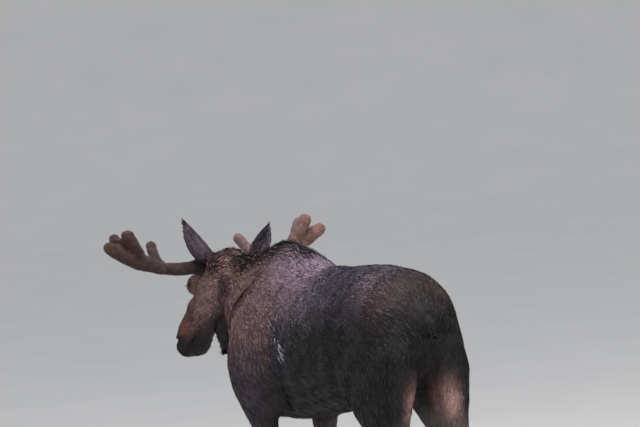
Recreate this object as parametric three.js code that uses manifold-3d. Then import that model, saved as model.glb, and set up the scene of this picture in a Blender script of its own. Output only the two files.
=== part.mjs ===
// A bull moose in its summer coat, with young antlers still in velvet: a life-size standing model.
//
// Millimetres, +Z up. The nose points along -Y and the animal's left side is +X. Flesh is lofted between
// two outlines drawn in side view, its dorsal (or front) line and its ventral (or rear) line, with a half
// width at each station. The lofts are joined into one body, which is then parted with thin cuts where a
// person would name its parts. Antlers, dewclaws and eyes are pieces of their own.

import * as THREE from "three";
import { mergeVertices } from "three/addons/utils/BufferGeometryUtils.js";
import Module from "manifold-3d";

const wasm = await Module();
wasm.setup();

// ---------------------------------------------------------------- driving dimensions

const withersHeight = 1880; // top of the hump, to the tips of its hair
const withersY = -450; // the hump stands above the shoulder blades
const backHeight = 1752; // the saddle behind it
const croupHeight = 1768;
const croupY = 470;
const rumpY = 897; // rearmost point of the buttocks
const brisketHeight = 905; // lowest point of the chest
const groinHeight = 1060;
const trunkHalfWidth = 318; // at the belly

const crown = [4, -1122, 1834]; // top of the head, between the ears: x, y, z
const headPitch = 41; // degrees that the nose line drops below the level
const headTurn = 4; // degrees that the nose swings to the animal's left
const headTilt = 2.3; // degrees that the left antler is carried higher than the right one
const headLength = 708; // crown to the tip of the nose
const eyeRadius = 21;
const earLength = 302;
const antlerSpread = { left: 24, right: 66 }; // how much further out than drawn each antler reaches

const footSpread = 158; // from the middle line to the middle of a foot
const forefootY = { left: -615, right: -550 }; // the left foreleg stands a little forward
const hindfootY = { left: 640, right: 692 }; // the right hind leg is set back

const parting = 0.6; // width of the cuts between neighbours
const rotate = (degrees) => THREE.MathUtils.degToRad(degrees);

// ---------------------------------------------------------------- solids from rings of points

// One closed skin through rings of points, with a middle point closing each end.
function skin(rings) {
  const sides = rings[0].length;
  const points = rings.flat();
  const faces = [];
  for (let r = 0; r < rings.length - 1; r++) {
    for (let s = 0; s < sides; s++) {
      const a = r * sides + s;
      const b = r * sides + ((s + 1) % sides);
      faces.push(a, b, b + sides, a, b + sides, a + sides);
    }
  }
  const closeEnd = (ring, turned) => {
    const middle = points.length;
    const sum = new THREE.Vector3();
    rings[ring].forEach((p) => sum.add(p));
    points.push(sum.divideScalar(sides));
    for (let s = 0; s < sides; s++) {
      const a = ring * sides + s;
      const b = ring * sides + ((s + 1) % sides);
      faces.push(...(turned ? [b, a, middle] : [a, b, middle]));
    }
  };
  closeEnd(0, true);
  closeEnd(rings.length - 1, false);
  const made = new THREE.BufferGeometry().setFromPoints(points);
  made.setIndex(faces);
  return made;
}

// A three.js geometry as a solid for cutting and joining. One that is inside out is turned round.
function solid(geometry) {
  const bare = geometry.clone();
  bare.deleteAttribute("normal");
  bare.deleteAttribute("uv");
  const merged = mergeVertices(bare, 1e-3);
  const vertProperties = merged.attributes.position.array;
  const triVerts = new Uint32Array(merged.index.array);
  const build = () => new wasm.Manifold(new wasm.Mesh({ numProp: 3, vertProperties, triVerts }));
  const made = build();
  if (made.volume() > 0) return made;
  triVerts.reverse();
  return build();
}

// A solid back as a three.js geometry.
function geometryOf(made) {
  const { vertProperties, triVerts, numProp, numVert } = made.getMesh();
  const positions = new Float32Array(numVert * 3);
  for (let i = 0; i < numVert; i++) {
    positions.set(vertProperties.subarray(i * numProp, i * numProp + 3), i * 3);
  }
  const geometry = new THREE.BufferGeometry();
  geometry.setAttribute("position", new THREE.BufferAttribute(positions, 3));
  geometry.setIndex(new THREE.BufferAttribute(triVerts, 1));
  return geometry;
}

const join = (...parts) => parts.reduce((whole, next) => whole.add(next));

// A piece's geometry without the crumbs that a cut, or rounding to 32-bit numbers, leaves beside it.
function settled(made) {
  const bodies = solid(geometryOf(made)).decompose();
  return geometryOf(bodies.reduce((best, next) => (next.volume() > best.volume() ? next : best)));
}

// A table's columns at any fraction of the way down it, on smooth curves through its rows.
function smoothRows(rows) {
  const columns = rows[0].length;
  const stations = rows.map((_, i) => i);
  const curve = new THREE.CubicInterpolant(stations, rows.flat(), columns, new Float64Array(columns));
  return (station) => [...curve.evaluate(station)];
}

// ---------------------------------------------------------------- lofts, bars and eggs

// Rows are [topY, topZ, bottomY, bottomZ, middleX, halfWidth, waist, upper, lower].
// waist is how far up from the bottom the section is widest, as a fraction. upper and lower are the
// section's roundness above and below it: 2 is an ellipse, less is a ridge and more is a slab.
function outlineLoft(rows, sides, ringsPerRow) {
  const at = smoothRows(rows);
  const count = Math.round((rows.length - 1) * ringsPerRow);
  const rings = [];
  for (let i = 0; i <= count; i++) {
    const station = (i * (rows.length - 1)) / count;
    const [ty, tz, by, bz, x, half, waist = 0.5, upper = 2, lower = 2] = at(station);
    const top = new THREE.Vector3(x, ty, tz);
    const bottom = new THREE.Vector3(x, by, bz);
    const middle = bottom.clone().lerp(top, waist);
    rings.push(
      Array.from({ length: sides }, (_, s) => {
        const angle = (2 * Math.PI * (s + 0.5)) / sides;
        const rise = Math.sin(angle);
        const power = 2 / (rise > 0 ? upper : lower);
        const across = Math.sign(Math.cos(angle)) * Math.abs(Math.cos(angle)) ** power;
        return middle
          .clone()
          .lerp(rise > 0 ? top : bottom, Math.abs(rise) ** power)
          .add(new THREE.Vector3(half * across, 0, 0));
      }),
    );
  }
  return skin(rings);
}

// A bar with domed ends along a smooth path of rows [x, y, z, radius, depth]. depth is how thick it is
// along Y as a share of its width, and each dome is drawn with rings at the given latitudes.
function bar(rows, sides, ringsPerRow, domes = [60, 28]) {
  const at = smoothRows(rows);
  const last = rows.length - 1;
  const count = Math.round(last * ringsPerRow);
  const point = (t) => new THREE.Vector3(...at(THREE.MathUtils.clamp(t, 0, last)).slice(0, 3));
  const side = new THREE.Vector3(0.3, 0.1, 1);
  const ringAt = (t, dome) => {
    const ahead = point(t + 0.05).sub(point(t - 0.05)).normalize();
    const [radius, depth] = at(t).slice(3);
    side.addScaledVector(ahead, -side.dot(ahead)).normalize();
    const other = new THREE.Vector3().crossVectors(ahead, side);
    const centre = point(t).addScaledVector(ahead, Math.sin(rotate(dome)) * radius);
    return Array.from({ length: sides }, (_, s) => {
      const angle = (2 * Math.PI * s) / sides;
      const spoke = side.clone().multiplyScalar(Math.cos(angle)).addScaledVector(other, Math.sin(angle));
      spoke.y *= depth;
      return centre.clone().addScaledVector(spoke, radius * Math.cos(rotate(dome)));
    });
  };
  const rings = domes.map((dome) => ringAt(0, -dome));
  for (let i = 0; i <= count; i++) rings.push(ringAt((i * last) / count, 0));
  domes.toReversed().forEach((dome) => rings.push(ringAt(last, dome)));
  return skin(rings);
}

// An egg: a sphere stretched to three radii, and leant about its own X axis.
function egg([x, y, z], [radiusX, radiusY, radiusZ], lean = 0) {
  return new THREE.SphereGeometry(1, 8, 6)
    .scale(radiusX, radiusY, radiusZ)
    .rotateX(rotate(lean))
    .translate(x, y, z);
}

// ---------------------------------------------------------------- thin cuts

// The half space beyond a plane, as a big box with one face on the plane and the rest along its normal.
function beyond(point, normal) {
  const size = 6000;
  const placement = new THREE.Object3D();
  placement.position.copy(point);
  placement.lookAt(point.clone().add(normal));
  placement.translateZ(size / 2);
  placement.updateMatrixWorld();
  return solid(new THREE.BoxGeometry(size, size, size).applyMatrix4(placement.matrixWorld));
}

// Takes out of a body what lies beyond all the planes, and leaves the cut's width between it and the rest.
// Planes are [point, normal], in the frame that the matrix places.
function cutOut(body, planes, matrix = new THREE.Matrix4()) {
  const placed = planes.map(([point, normal]) => [
    new THREE.Vector3(...point).applyMatrix4(matrix),
    new THREE.Vector3(...normal).transformDirection(matrix),
  ]);
  const zone = (widening) =>
    placed
      .map(([point, normal]) => beyond(point.clone().addScaledVector(normal, -widening), normal))
      .reduce((common, next) => common.intersect(next));
  return [body.intersect(zone(0)), body.subtract(zone(parting))];
}

// ---------------------------------------------------------------- trunk, neck, tail and bell

const [crownX, crownY, crownZ] = crown;

function torso() {
  return outlineLoft(
    [
      // top y, z            bottom y, z               x  half width      waist upper lower
      [rumpY - 14, 1430, rumpY - 22, 1375, 0, 48, 0.5, 2, 2],
      [rumpY - 28, 1500, rumpY - 72, 1280, 0, 132, 0.5, 2, 2],
      [rumpY - 78, 1590, rumpY - 160, 1200, 0, 200, 0.5, 1.9, 2],
      [rumpY - 215, 1702, rumpY - 290, 1120, 0, 254, 0.52, 1.85, 2],
      [croupY, croupHeight, croupY, groinHeight, 0, 284, 0.52, 1.85, 2],
      [235, croupHeight - 8, 235, groinHeight - 60, 0, 304, 0.5, 1.9, 2.1],
      [-10, backHeight, -10, brisketHeight + 50, 0, trunkHalfWidth, 0.46, 1.8, 2.1],
      [-240, 1806, -240, brisketHeight + 10, 0, 308, 0.45, 1.6, 2.1],
      [withersY, withersHeight, withersY + 10, brisketHeight, 0, 280, 0.45, 1.45, 2],
      [-610, 1850, -640, brisketHeight + 15, 2, 258, 0.46, 1.5, 2],
      [-755, 1812, -825, brisketHeight + 110, 6, 204, 0.47, 1.6, 2],
      [-885, 1800, -925, brisketHeight + 275, 12, 152, 0.48, 1.7, 2],
      [-1000, 1812, -1000, brisketHeight + 430, 18, 122, 0.5, 1.8, 2],
      [crownY + 20, crownZ - 14, -1050, brisketHeight + 545, crownX, 100, 0.5, 1.9, 2],
      [crownY - 35, crownZ - 55, -1075, brisketHeight + 630, crownX + 2, 74, 0.5, 2, 2],
    ],
    18,
    1.25,
  );
}

function tail() {
  return outlineLoft(
    [
      [rumpY - 150, 1590, rumpY - 150, 1525, 0, 30],
      [rumpY - 50, 1562, rumpY - 62, 1500, 0, 34],
      [rumpY + 6, 1490, rumpY - 30, 1466, 0, 30],
      [rumpY + 18, 1425, rumpY - 10, 1418, 0, 22],
      [rumpY + 12, 1385, rumpY - 2, 1383, 0, 9],
    ],
    8,
    1.5,
  );
}

// The bell: a flap of skin and hair hanging from the throat.
function bell() {
  const middle = crownX + 12;
  return outlineLoft(
    [
      [-1285, 1450, -1105, 1470, middle, 30],
      [-1278, 1375, -1128, 1385, middle, 37],
      [-1262, 1310, -1152, 1308, middle, 33],
      [-1240, 1272, -1180, 1268, middle, 22],
      [-1218, 1254, -1200, 1253, middle, 9],
    ],
    10,
    1.5,
  );
}

// ---------------------------------------------------------------- head

// The crown's frame is turned and tilted with the head but not pitched. The head's own frame is pitched too.
// In both, x is to the animal's left, -y is forward and z is up.
const crownMatrix = new THREE.Matrix4()
  .makeTranslation(...crown)
  .multiply(new THREE.Matrix4().makeRotationZ(rotate(headTurn)))
  .multiply(new THREE.Matrix4().makeRotationY(rotate(-headTilt)));
const headMatrix = crownMatrix.clone().multiply(new THREE.Matrix4().makeRotationX(rotate(headPitch)));

function skull() {
  const rows = [
    // top forward, up   bottom forward, up    x  half width  waist upper lower
    [-50, -52, -40, -180, 0, 60, 0.5, 2, 2],
    [0, -12, 6, -245, 0, 94, 0.55, 2.1, 1.9],
    [85, 4, 88, -285, 0, 108, 0.56, 2.5, 1.8],
    [175, 2, 178, -292, 0, 112, 0.56, 2.6, 1.8],
    [266, -8, 258, -274, 0, 106, 0.6, 2.6, 1.7],
    [352, -28, 345, -254, 0, 84, 0.62, 2.3, 1.8],
    [446, -32, 432, -245, 0, 76, 0.55, 2.2, 2.0],
    [540, -20, 520, -256, 0, 80, 0.52, 2.2, 2.2],
    [626, -34, 596, -266, 0, 90, 0.5, 2.3, 2.3],
    [headLength - 24, -82, 655, -250, 0, 88, 0.5, 2.3, 2.2],
    [headLength, -135, 698, -205, 0, 54, 0.5, 2, 2],
  ];
  const placed = rows.map(([topForward, top, bottomForward, bottom, ...rest]) => [
    -topForward,
    top,
    -bottomForward,
    bottom,
    ...rest,
  ]);
  return outlineLoft(placed, 14, 1.3);
}

const eyeAt = (side) => [side * 106, -274, -38];

function head() {
  let made = solid(skull());
  for (const side of [1, -1]) {
    const [x, y, z] = eyeAt(side);
    made = join(
      made,
      solid(egg([x - side * 22, y, z + 4], [35, 54, 40])), // the orbit
    );
  }
  for (const side of [1, -1]) {
    const nostril = egg([side * 92, -660, -114], [24, 30, 17], -25);
    const socket = new THREE.SphereGeometry(eyeRadius + parting, 8, 6).translate(...eyeAt(side));
    made = made.subtract(solid(nostril)).subtract(solid(socket));
  }
  return made.transform(headMatrix.elements);
}

const eye = (side) =>
  new THREE.SphereGeometry(eyeRadius, 8, 6).translate(...eyeAt(side)).applyMatrix4(headMatrix);

// ---------------------------------------------------------------- ears

// A cupped leaf standing along +Z. Each section runs round its outer face and back along its inner face.
function earLeaf() {
  const rows = [
    // along, bend, half width, half angle of the cup, wall
    [0, 0, 34, 160, 10],
    [0.12, 0, 40, 138, 9],
    [0.28, 2, 53, 108, 8],
    [0.46, 6, 60, 88, 7],
    [0.65, 8, 52, 82, 6],
    [0.82, 5, 34, 80, 5],
    [0.94, -2, 14, 80, 4.5],
    [1, -8, 5, 80, 3],
  ];
  const at = smoothRows(rows);
  const arcPoints = 5;
  const rings = [];
  for (let i = 0; i <= 8; i++) {
    const [along, bend, half, opening, wall] = at((i * 7) / 8);
    const cup = rotate(opening);
    const radius = half / Math.sin(Math.min(cup, Math.PI / 2));
    const arc = (reach, r) =>
      Array.from({ length: arcPoints }, (_, k) => {
        const angle = reach * (1 - (2 * k) / (arcPoints - 1));
        const dish = bend + radius - r * Math.cos(angle);
        return new THREE.Vector3(r * Math.sin(angle), dish, along * earLength);
      });
    rings.push([...arc(cup, radius), ...arc(-cup, Math.max(radius - wall, radius * 0.35))]);
  }
  return skin(rings);
}

// The ears lean outwards. The left one's hollow looks forward, and the right one's outward and back.
const earSet = { left: { lean: 33, back: 12, opening: 6 }, right: { lean: 46, back: 6, opening: 108 } };

function earMatrix(side, { lean, back, opening }) {
  return crownMatrix
    .clone()
    .multiply(new THREE.Matrix4().makeTranslation(side * 75, 36, -92))
    .multiply(new THREE.Matrix4().makeRotationY(rotate(side * lean)))
    .multiply(new THREE.Matrix4().makeRotationX(rotate(back)))
    .multiply(new THREE.Matrix4().makeRotationZ(rotate(180 + side * opening)));
}

const earCut = 52; // height above its root where the ear is parted from the head

// ---------------------------------------------------------------- antlers

// Antler points are [out, forward, up, radius, depth] from the burr, in the crown's frame. Each piece is
// parted from its carrier at the row cut. The palm runs on into its rear tine, which is parted from it at
// the row fork.
const burrAt = [108, 92, -80]; // out, forward and up from the crown
const beam = {
  rows: [
    [-60, 0, 0, 26],
    [-8, 0, 0, 34],
    [6, 0, 0, 40],
    [32, 1, 0, 33],
    [130, 8, -4, 31],
    [238, 18, -2, 33],
  ],
  cut: 1,
};
const palm = {
  rows: [
    [215, 14, -4, 30, 0.9],
    [290, 20, 16, 42, 0.7],
    [362, 24, 46, 50, 0.62],
    [420, 22, 66, 38, 0.8],
    [478, 19, 88, 33, 1],
    [520, 17, 112, 35, 1],
    [542, 16, 126, 36, 1],
  ],
  cut: 0.5,
  fork: 3.15,
};
const branches = {
  brow_tine: {
    rows: [
      [190, 14, 0, 26],
      [184, 100, 16, 26],
      [170, 178, 66, 28],
      [158, 218, 108, 30],
    ],
    cut: 0.5,
  },
  tine_front: {
    rows: [
      [334, 20, 48, 34],
      [376, 10, 108, 34],
      [416, 2, 162, 37],
      [432, 0, 186, 38],
    ],
    cut: 0.35,
  },
  tine_middle: {
    rows: [
      [380, 38, 62, 24],
      [428, 72, 106, 25],
      [476, 94, 152, 28],
      [494, 100, 172, 29],
    ],
    cut: 0.2,
  },
};
const snag = {
  rows: [
    [178, 14, 4, 26],
    [192, 26, 34, 27],
    [200, 34, 56, 28],
  ],
  cut: 0.6,
};

// An antler's rows in the crown's frame. spread carries them further out.
function antlerPath(side, spread, rows, grown = 0) {
  const [burrOut, burrForward, burrUp] = burrAt;
  return rows.map(([out, forward, up, radius, depth = 1]) => [
    side * (burrOut + out + spread * THREE.MathUtils.clamp(out / 300, 0, 1)),
    -(burrForward + forward),
    burrUp + up,
    radius + grown,
    depth,
  ]);
}

// The plane square to a path at a fraction of the way down its rows.
function planeAt(path, station) {
  const before = Math.floor(station);
  const [here, next] = path.slice(before, before + 2).map(([x, y, z]) => new THREE.Vector3(x, y, z));
  return [here.clone().lerp(next, station - before).toArray(), next.sub(here).toArray()];
}

// A branch of an antler parted at its root: the free piece, the stump that it grows from, and the socket that
// the free piece needs in whatever carries it.
function branch(side, spread, { rows, cut }) {
  const plane = planeAt(antlerPath(side, spread, rows), cut);
  const [whole, wider] = [0, parting].map((grown) =>
    solid(bar(antlerPath(side, spread, rows, grown), 7, 1.5)).transform(crownMatrix.elements),
  );
  const [free, stump] = cutOut(whole, [plane], crownMatrix);
  return { free, stump, socket: wider.subtract(cutOut(wider, [plane], crownMatrix)[1]) };
}

// One antler's free pieces by name, and the stump of its beam that stays on the head.
function antler(side, spread, shapes) {
  const main = branch(side, spread, beam);
  const blade = branch(side, spread, palm);
  const fork = planeAt(antlerPath(side, spread, palm.rows), palm.fork);
  const [rear, flat] = cutOut(blade.free, [fork], crownMatrix);
  const parts = new Map([["beam", main.free.subtract(blade.socket)], ["palm", flat], ["tine_rear", rear]]);
  for (const [kind, shape] of Object.entries(shapes)) {
    const { free, socket } = branch(side, spread, shape);
    parts.forEach((made, other) => parts.set(other, made.subtract(socket)));
    parts.set(kind, free);
  }
  return { parts, stump: main.stump };
}

// ---------------------------------------------------------------- legs and feet

// Moves a leg's rows towards its foot's place, more the lower they are.
function stepped(rows, side, slideAtFoot) {
  return rows.map(([ty, tz, by, bz, x, half, ...shape]) => {
    const slide = slideAtFoot * THREE.MathUtils.clamp((1350 - (tz + bz) / 2) / 900, 0, 1);
    return [ty + slide, tz, by + slide, bz, side * (x + footSpread), half, ...shape];
  });
}

// Rows: front outline y, z, rear outline y, z, how far out from above the foot, half width.
function foreleg(side, footY) {
  const rows = [
    [-640, 1650, -420, 1645, -50, 44],
    [-745, 1500, -395, 1510, -12, 96],
    [-805, 1345, -385, 1340, 24, 122],
    [-800, 1190, -390, 1170, 38, 116],
    [-744, 1045, -410, 1015, 32, 95],
    [-662, 905, -448, 885, 19, 66],
    [-618, 780, -480, 770, 10, 52],
    [-604, 690, -498, 680, 6, 46],
    [-604, 590, -500, 585, 3, 49],
    [-586, 490, -502, 485, 1, 41],
    [-576, 360, -506, 355, 0, 34],
    [-576, 240, -500, 230, 0, 38],
    [-588, 170, -498, 145, 0, 46],
    [-612, 84, -534, 58, 0, 42],
  ];
  return outlineLoft(stepped(rows, side, footY + 581), 10, 1);
}

function hindleg(side, footY) {
  const rows = [
    [440, 1640, 690, 1640, -50, 70],
    [385, 1560, 800, 1560, -30, 104],
    [325, 1450, 866, 1450, -16, 136],
    [292, 1320, 888, 1320, -12, 148, 0.5, 2, 2.6],
    [290, 1180, 884, 1190, -4, 142, 0.5, 2, 2.6],
    [345, 1040, 856, 1035, 8, 118, 0.5, 2, 2.4],
    [462, 915, 836, 900, 16, 84],
    [580, 800, 832, 785, 13, 61],
    [668, 706, 842, 716, 8, 48],
    [698, 615, 828, 612, 4, 45],
    [700, 500, 790, 505, 2, 38],
    [686, 360, 764, 362, 0, 34],
    [672, 240, 758, 240, 0, 39],
    [655, 170, 756, 150, 0, 46],
    [628, 84, 710, 58, 0, 42],
  ].map((row) => [...row, ...[0.5, 2, 2].slice(row.length - 6)]);
  return outlineLoft(stepped(rows, side, footY - 640), 10, 1);
}

// One toe of a cloven hoof, from inside the pastern down to its flat sole. The toes part at their tips.
function toe(side, inner, footY) {
  const rows = [
    [-36, 100, 34, 76, 16, 24, 0.5, 2, 2.2],
    [-50, 80, 46, 58, 24, 28, 0.5, 1.9, 2.2],
    [-84, 40, 56, 26, 28, 31, 0.48, 1.7, 2.4],
    [-114, 0, 60, 0, 32, 31, 0.46, 1.5, 2.6],
  ];
  const placed = rows.map(([ty, tz, by, bz, x, ...rest]) => [
    ty + footY,
    tz,
    by + footY,
    bz,
    side * footSpread + inner * x,
    ...rest,
  ]);
  return outlineLoft(placed, 8, 1);
}

// A dewclaw: a short blunt horn behind the fetlock. grown makes the socket that it sits in.
function dewclaw(side, inner, footY, grown = 0) {
  const x = side * footSpread + inner * 30;
  const rows = [
    [x, footY + 42, 132, 12 + grown, 1],
    [x + inner * 4, footY + 66, 108, 15 + grown, 1],
    [x + inner * 5, footY + 78, 80, 10 + grown, 1],
  ];
  return bar(rows, 5, 1, [40]);
}

// ---------------------------------------------------------------- the animal, joined and parted

const pieces = new Map();
let body = join(solid(torso()), solid(tail()), solid(bell()), head());

for (const [name, side] of Object.entries({ left: 1, right: -1 })) {
  const shapes = name === "right" ? { ...branches, snag } : branches;
  const { parts, stump } = antler(side, antlerSpread[name], shapes);
  parts.forEach((made, kind) => pieces.set(`antler_${name}_${kind}`, made));

  const placed = earMatrix(side, earSet[name]);
  const leaf = solid(earLeaf()).transform(placed.elements);
  const [ear, root] = cutOut(leaf, [[[0, 0, earCut], [0, 0, 1]]], placed);
  pieces.set(`ear_${name}`, ear);
  pieces.set(`eye_${name}`, solid(eye(side)));
  body = join(body, stump, root);

  const feet = {
    front: [foreleg(side, forefootY[name]), forefootY[name]],
    hind: [hindleg(side, hindfootY[name]), hindfootY[name]],
  };
  for (const [end, [leg, footY]] of Object.entries(feet)) {
    const whole = join(solid(leg), solid(toe(side, 1, footY)), solid(toe(side, -1, footY)));
    const [hoof, cut] = cutOut(whole, [[[0, footY, 74], [0, -0.29, -1]]]);
    let limb = cut;
    for (const inner of [1, -1]) {
      const place = inner === side ? "outer" : "inner";
      pieces.set(`dewclaw_${end}_${name}_${place}`, solid(dewclaw(side, inner, footY)));
      limb = limb.subtract(solid(dewclaw(side, inner, footY, parting)));
    }
    pieces.set(`hoof_${end}_${name}`, hoof);
    body = body.add(limb);
  }
}

// Cuts from the outside in: the legs, the tail and the bell, then the head and the neck.
function takeOut(name, planes, matrix) {
  const [piece, rest] = cutOut(body, planes, matrix);
  pieces.set(name, piece);
  body = rest;
}

for (const [name, side] of Object.entries({ left: 1, right: -1 })) {
  takeOut(`leg_front_${name}`, [
    [[side * 200, 0, 1110], [side * 0.5, 0, -0.86]],
    [[side * 88, 0, 0], [side, 0, 0]],
    [[0, -352, 1000], [0, -1, -0.12]],
  ]);
  takeOut(`leg_hind_${name}`, [
    [[side * 200, 560, 1150], [side * 0.5, 0, -0.86]],
    [[side * 40, 0, 0], [side, 0, 0]],
    [[0, 280, 1100], [0, 1, -0.35]],
  ]);
}
takeOut("tail", [
  [[0, rumpY - 20, 1500], [0, 0.95, -0.31]],
  [[0, 0, 1376], [0, 0, 1]],
  [[-42, 0, 0], [1, 0, 0]],
  [[42, 0, 0], [-1, 0, 0]],
]);
takeOut("bell", [
  [[0, -1176, 1422], [0, 0.511, -0.859]],
  [[0, -1100, 0], [0, -1, 0]],
  [[0, -1300, 0], [0, 1, 0]],
]);
takeOut(
  "lower_jaw",
  [
    [[0, -450, -196], [0, 0.03, -1]],
    [[0, -450, 0], [0, -1, 0.2]],
    [[0, -668, 0], [0, 1, 0]],
  ],
  headMatrix,
);
takeOut("head", [[[0, 6, 0], [0, -1, 0]], [[0, -100, -302], [0, 0.1, 1]]], headMatrix);
takeOut("neck", [[[0, -740, 1500], [0, -0.954, 0.3]]]);
pieces.set("trunk", body);

// ---------------------------------------------------------------- colours, and the place of the origin

const paints = [
  [/^eye/, 0x0b0706, 0.1],
  [/^(hoof|dewclaw)/, 0x1d1815, 0.5],
  [/^antler/, 0x6f4a40, 0.95],
  [/^ear/, 0x5b474d, 0.9],
  [/^(head|lower_jaw)/, 0x55423d, 0.85],
  [/^neck/, 0x4b3936, 0.9],
  [/^leg/, 0x6a5a52, 0.85],
  [/./, 0x2f2629, 0.9],
];

const bounds = [...pieces.values()].map((made) => made.boundingBox());
const low = (axis) => Math.min(...bounds.map((box) => box.min[axis]));
const high = (axis) => Math.max(...bounds.map((box) => box.max[axis]));
const toOrigin = [-(low(0) + high(0)) / 2, -(low(1) + high(1)) / 2, -low(2)];

const moose = new THREE.Group();
moose.name = "moose";
for (const [name, made] of pieces) {
  const [, color, roughness] = paints.find(([pattern]) => pattern.test(name));
  const material = new THREE.MeshStandardMaterial({ color, roughness, metalness: 0 });
  const mesh = new THREE.Mesh(settled(made.translate(toOrigin)), material);
  mesh.name = name;
  moose.add(mesh);
}

export default moose;
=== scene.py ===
# %% [markdown]
# # A bull moose in its summer coat
#
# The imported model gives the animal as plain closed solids: head, neck, trunk, legs, ears, antlers and
# hooves. This lesson dresses them. First one smooth skin is grown from the solids of flesh, then folds,
# lids and lips are pressed into it, and last the coat is laid over it, blade by blade.

# %% Load the solids
from contextlib import contextmanager

import bmesh
import bpy
import numpy as np
from mathutils import Matrix, Vector


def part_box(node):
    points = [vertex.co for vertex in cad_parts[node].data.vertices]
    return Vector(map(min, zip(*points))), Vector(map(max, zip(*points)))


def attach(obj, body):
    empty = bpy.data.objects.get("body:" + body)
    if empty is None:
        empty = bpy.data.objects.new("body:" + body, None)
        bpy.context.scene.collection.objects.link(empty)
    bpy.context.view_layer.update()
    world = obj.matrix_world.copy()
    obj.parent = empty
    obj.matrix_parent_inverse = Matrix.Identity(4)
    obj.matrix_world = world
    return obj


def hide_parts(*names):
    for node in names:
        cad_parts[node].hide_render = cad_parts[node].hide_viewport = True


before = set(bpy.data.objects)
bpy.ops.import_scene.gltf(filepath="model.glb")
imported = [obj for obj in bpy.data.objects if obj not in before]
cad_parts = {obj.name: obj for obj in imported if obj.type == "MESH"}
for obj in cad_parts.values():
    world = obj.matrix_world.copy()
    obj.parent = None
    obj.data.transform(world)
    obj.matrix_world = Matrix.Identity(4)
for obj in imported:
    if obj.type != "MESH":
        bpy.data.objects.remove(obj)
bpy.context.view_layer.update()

# %% [markdown]

# %% [markdown]
# ## The camera
#
# A long lens far away keeps the animal's proportions true. The camera stands behind the animal's left
# shoulder, a little above its back, and is rolled a few degrees, as a hand-held one often is. A camera looks
# along its own -Z, so its matrix is built from three axes: right, up and back.

# %% The camera
azimuth, elevation, roll = np.radians([149, 3.5, 5.5])
distance = 22  # metres from the animal
view_width = 3.37  # metres that the picture spans at the animal
look_at = np.array([-0.002, 0.224, 2.018])
film_width = 36  # millimetres

back = np.array(
    [np.sin(azimuth) * np.cos(elevation), -np.cos(azimuth) * np.cos(elevation), np.sin(elevation)]
)
level = np.array([np.cos(azimuth), np.sin(azimuth), 0])
upright = np.cross(back, level)
right = level * np.cos(roll) - upright * np.sin(roll)
up = upright * np.cos(roll) + level * np.sin(roll)

camera = bpy.data.objects.new("camera", bpy.data.cameras.new("camera"))
camera.data.sensor_width = film_width
camera.data.lens = film_width * distance / view_width
camera.data.clip_end = 200
place = np.eye(4)
place[:3, :3] = np.column_stack([right, up, back])
place[:3, 3] = look_at + back * distance
camera.matrix_world = Matrix(place.tolist())
bpy.context.scene.collection.objects.link(camera)
bpy.context.scene.camera = camera
bpy.context.scene.view_settings.view_transform = "Standard"
print("lens", round(camera.data.lens), "mm")


# %% [markdown]
# ## Arrays and meshes
#
# numpy works on whole arrays of points at once. These helpers carry the arrays into Blender's meshes and
# back in one step, so no loop ever runs over the vertices.


# %% Mesh helpers
def points_of(mesh):
    """A mesh's points as an n x 3 array."""
    flat = np.empty(len(mesh.vertices) * 3, np.float32)
    mesh.vertices.foreach_get("co", flat)
    return flat.reshape(-1, 3)


def normals_of(mesh):
    """The outward direction at each point, as an n x 3 array."""
    flat = np.empty(len(mesh.vertices) * 3, np.float32)
    mesh.vertex_normals.foreach_get("vector", flat)
    return flat.reshape(-1, 3)


def triangles_of(mesh):
    """A mesh's triangles as an n x 3 array of point numbers."""
    mesh.calc_loop_triangles()
    flat = np.empty(len(mesh.loop_triangles) * 3, np.int32)
    mesh.loop_triangles.foreach_get("vertices", flat)
    return flat.reshape(-1, 3)


def set_points(mesh, points):
    """Moves a mesh's points to the places in an n x 3 array."""
    mesh.vertices.foreach_set("co", np.ascontiguousarray(points, np.float32).ravel())
    mesh.update()


def mesh_of(name, points, faces):
    """A smooth-shaded mesh from an n x 3 array of points and an m x k array of faces with k corners."""
    mesh = bpy.data.meshes.new(name)
    mesh.vertices.add(len(points))
    mesh.vertices.foreach_set("co", np.ascontiguousarray(points, np.float32).ravel())
    mesh.loops.add(faces.size)
    mesh.loops.foreach_set("vertex_index", np.ascontiguousarray(faces, np.int32).ravel())
    mesh.polygons.add(len(faces))
    mesh.polygons.foreach_set("loop_start", np.arange(0, faces.size, faces.shape[1], dtype=np.int32))
    mesh.update(calc_edges=True)
    mesh.shade_smooth()
    return mesh


def object_of(name, mesh, material=None):
    """An object that shows a mesh, at the origin, unturned and unscaled."""
    if material:
        mesh.materials.append(material)
    made = bpy.data.objects.new(name, mesh)
    bpy.context.scene.collection.objects.link(made)
    return made


def add_attribute(mesh, name, values):
    """Stores one number per point, or one colour per point where values has three columns."""
    if values.ndim == 1:
        mesh.attributes.new(name, "FLOAT", "POINT").data.foreach_set("value", values.astype(np.float32))
    else:
        opaque = np.column_stack([values, np.ones(len(values))]).astype(np.float32)
        mesh.attributes.new(name, "FLOAT_COLOR", "POINT").data.foreach_set("color", opaque.ravel())


def unit(vectors):
    """Vectors of length 1 in the same directions."""
    return vectors / np.maximum(np.linalg.norm(vectors, axis=-1, keepdims=True), 1e-9)


def apart(points, centre, stretch=(1, 1, 1)):
    """Metres from each point to a centre, each axis being divided by its stretch first."""
    return np.linalg.norm((points - np.asarray(centre)) / stretch, axis=1)


# %% [markdown]
# Three small functions shape nearly everything that follows: a soft step, a soft bump, and a smooth random
# ripple. The ripple is a sum of plane waves in random directions, so it needs no grid and can be read at
# any point in space.


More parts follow.
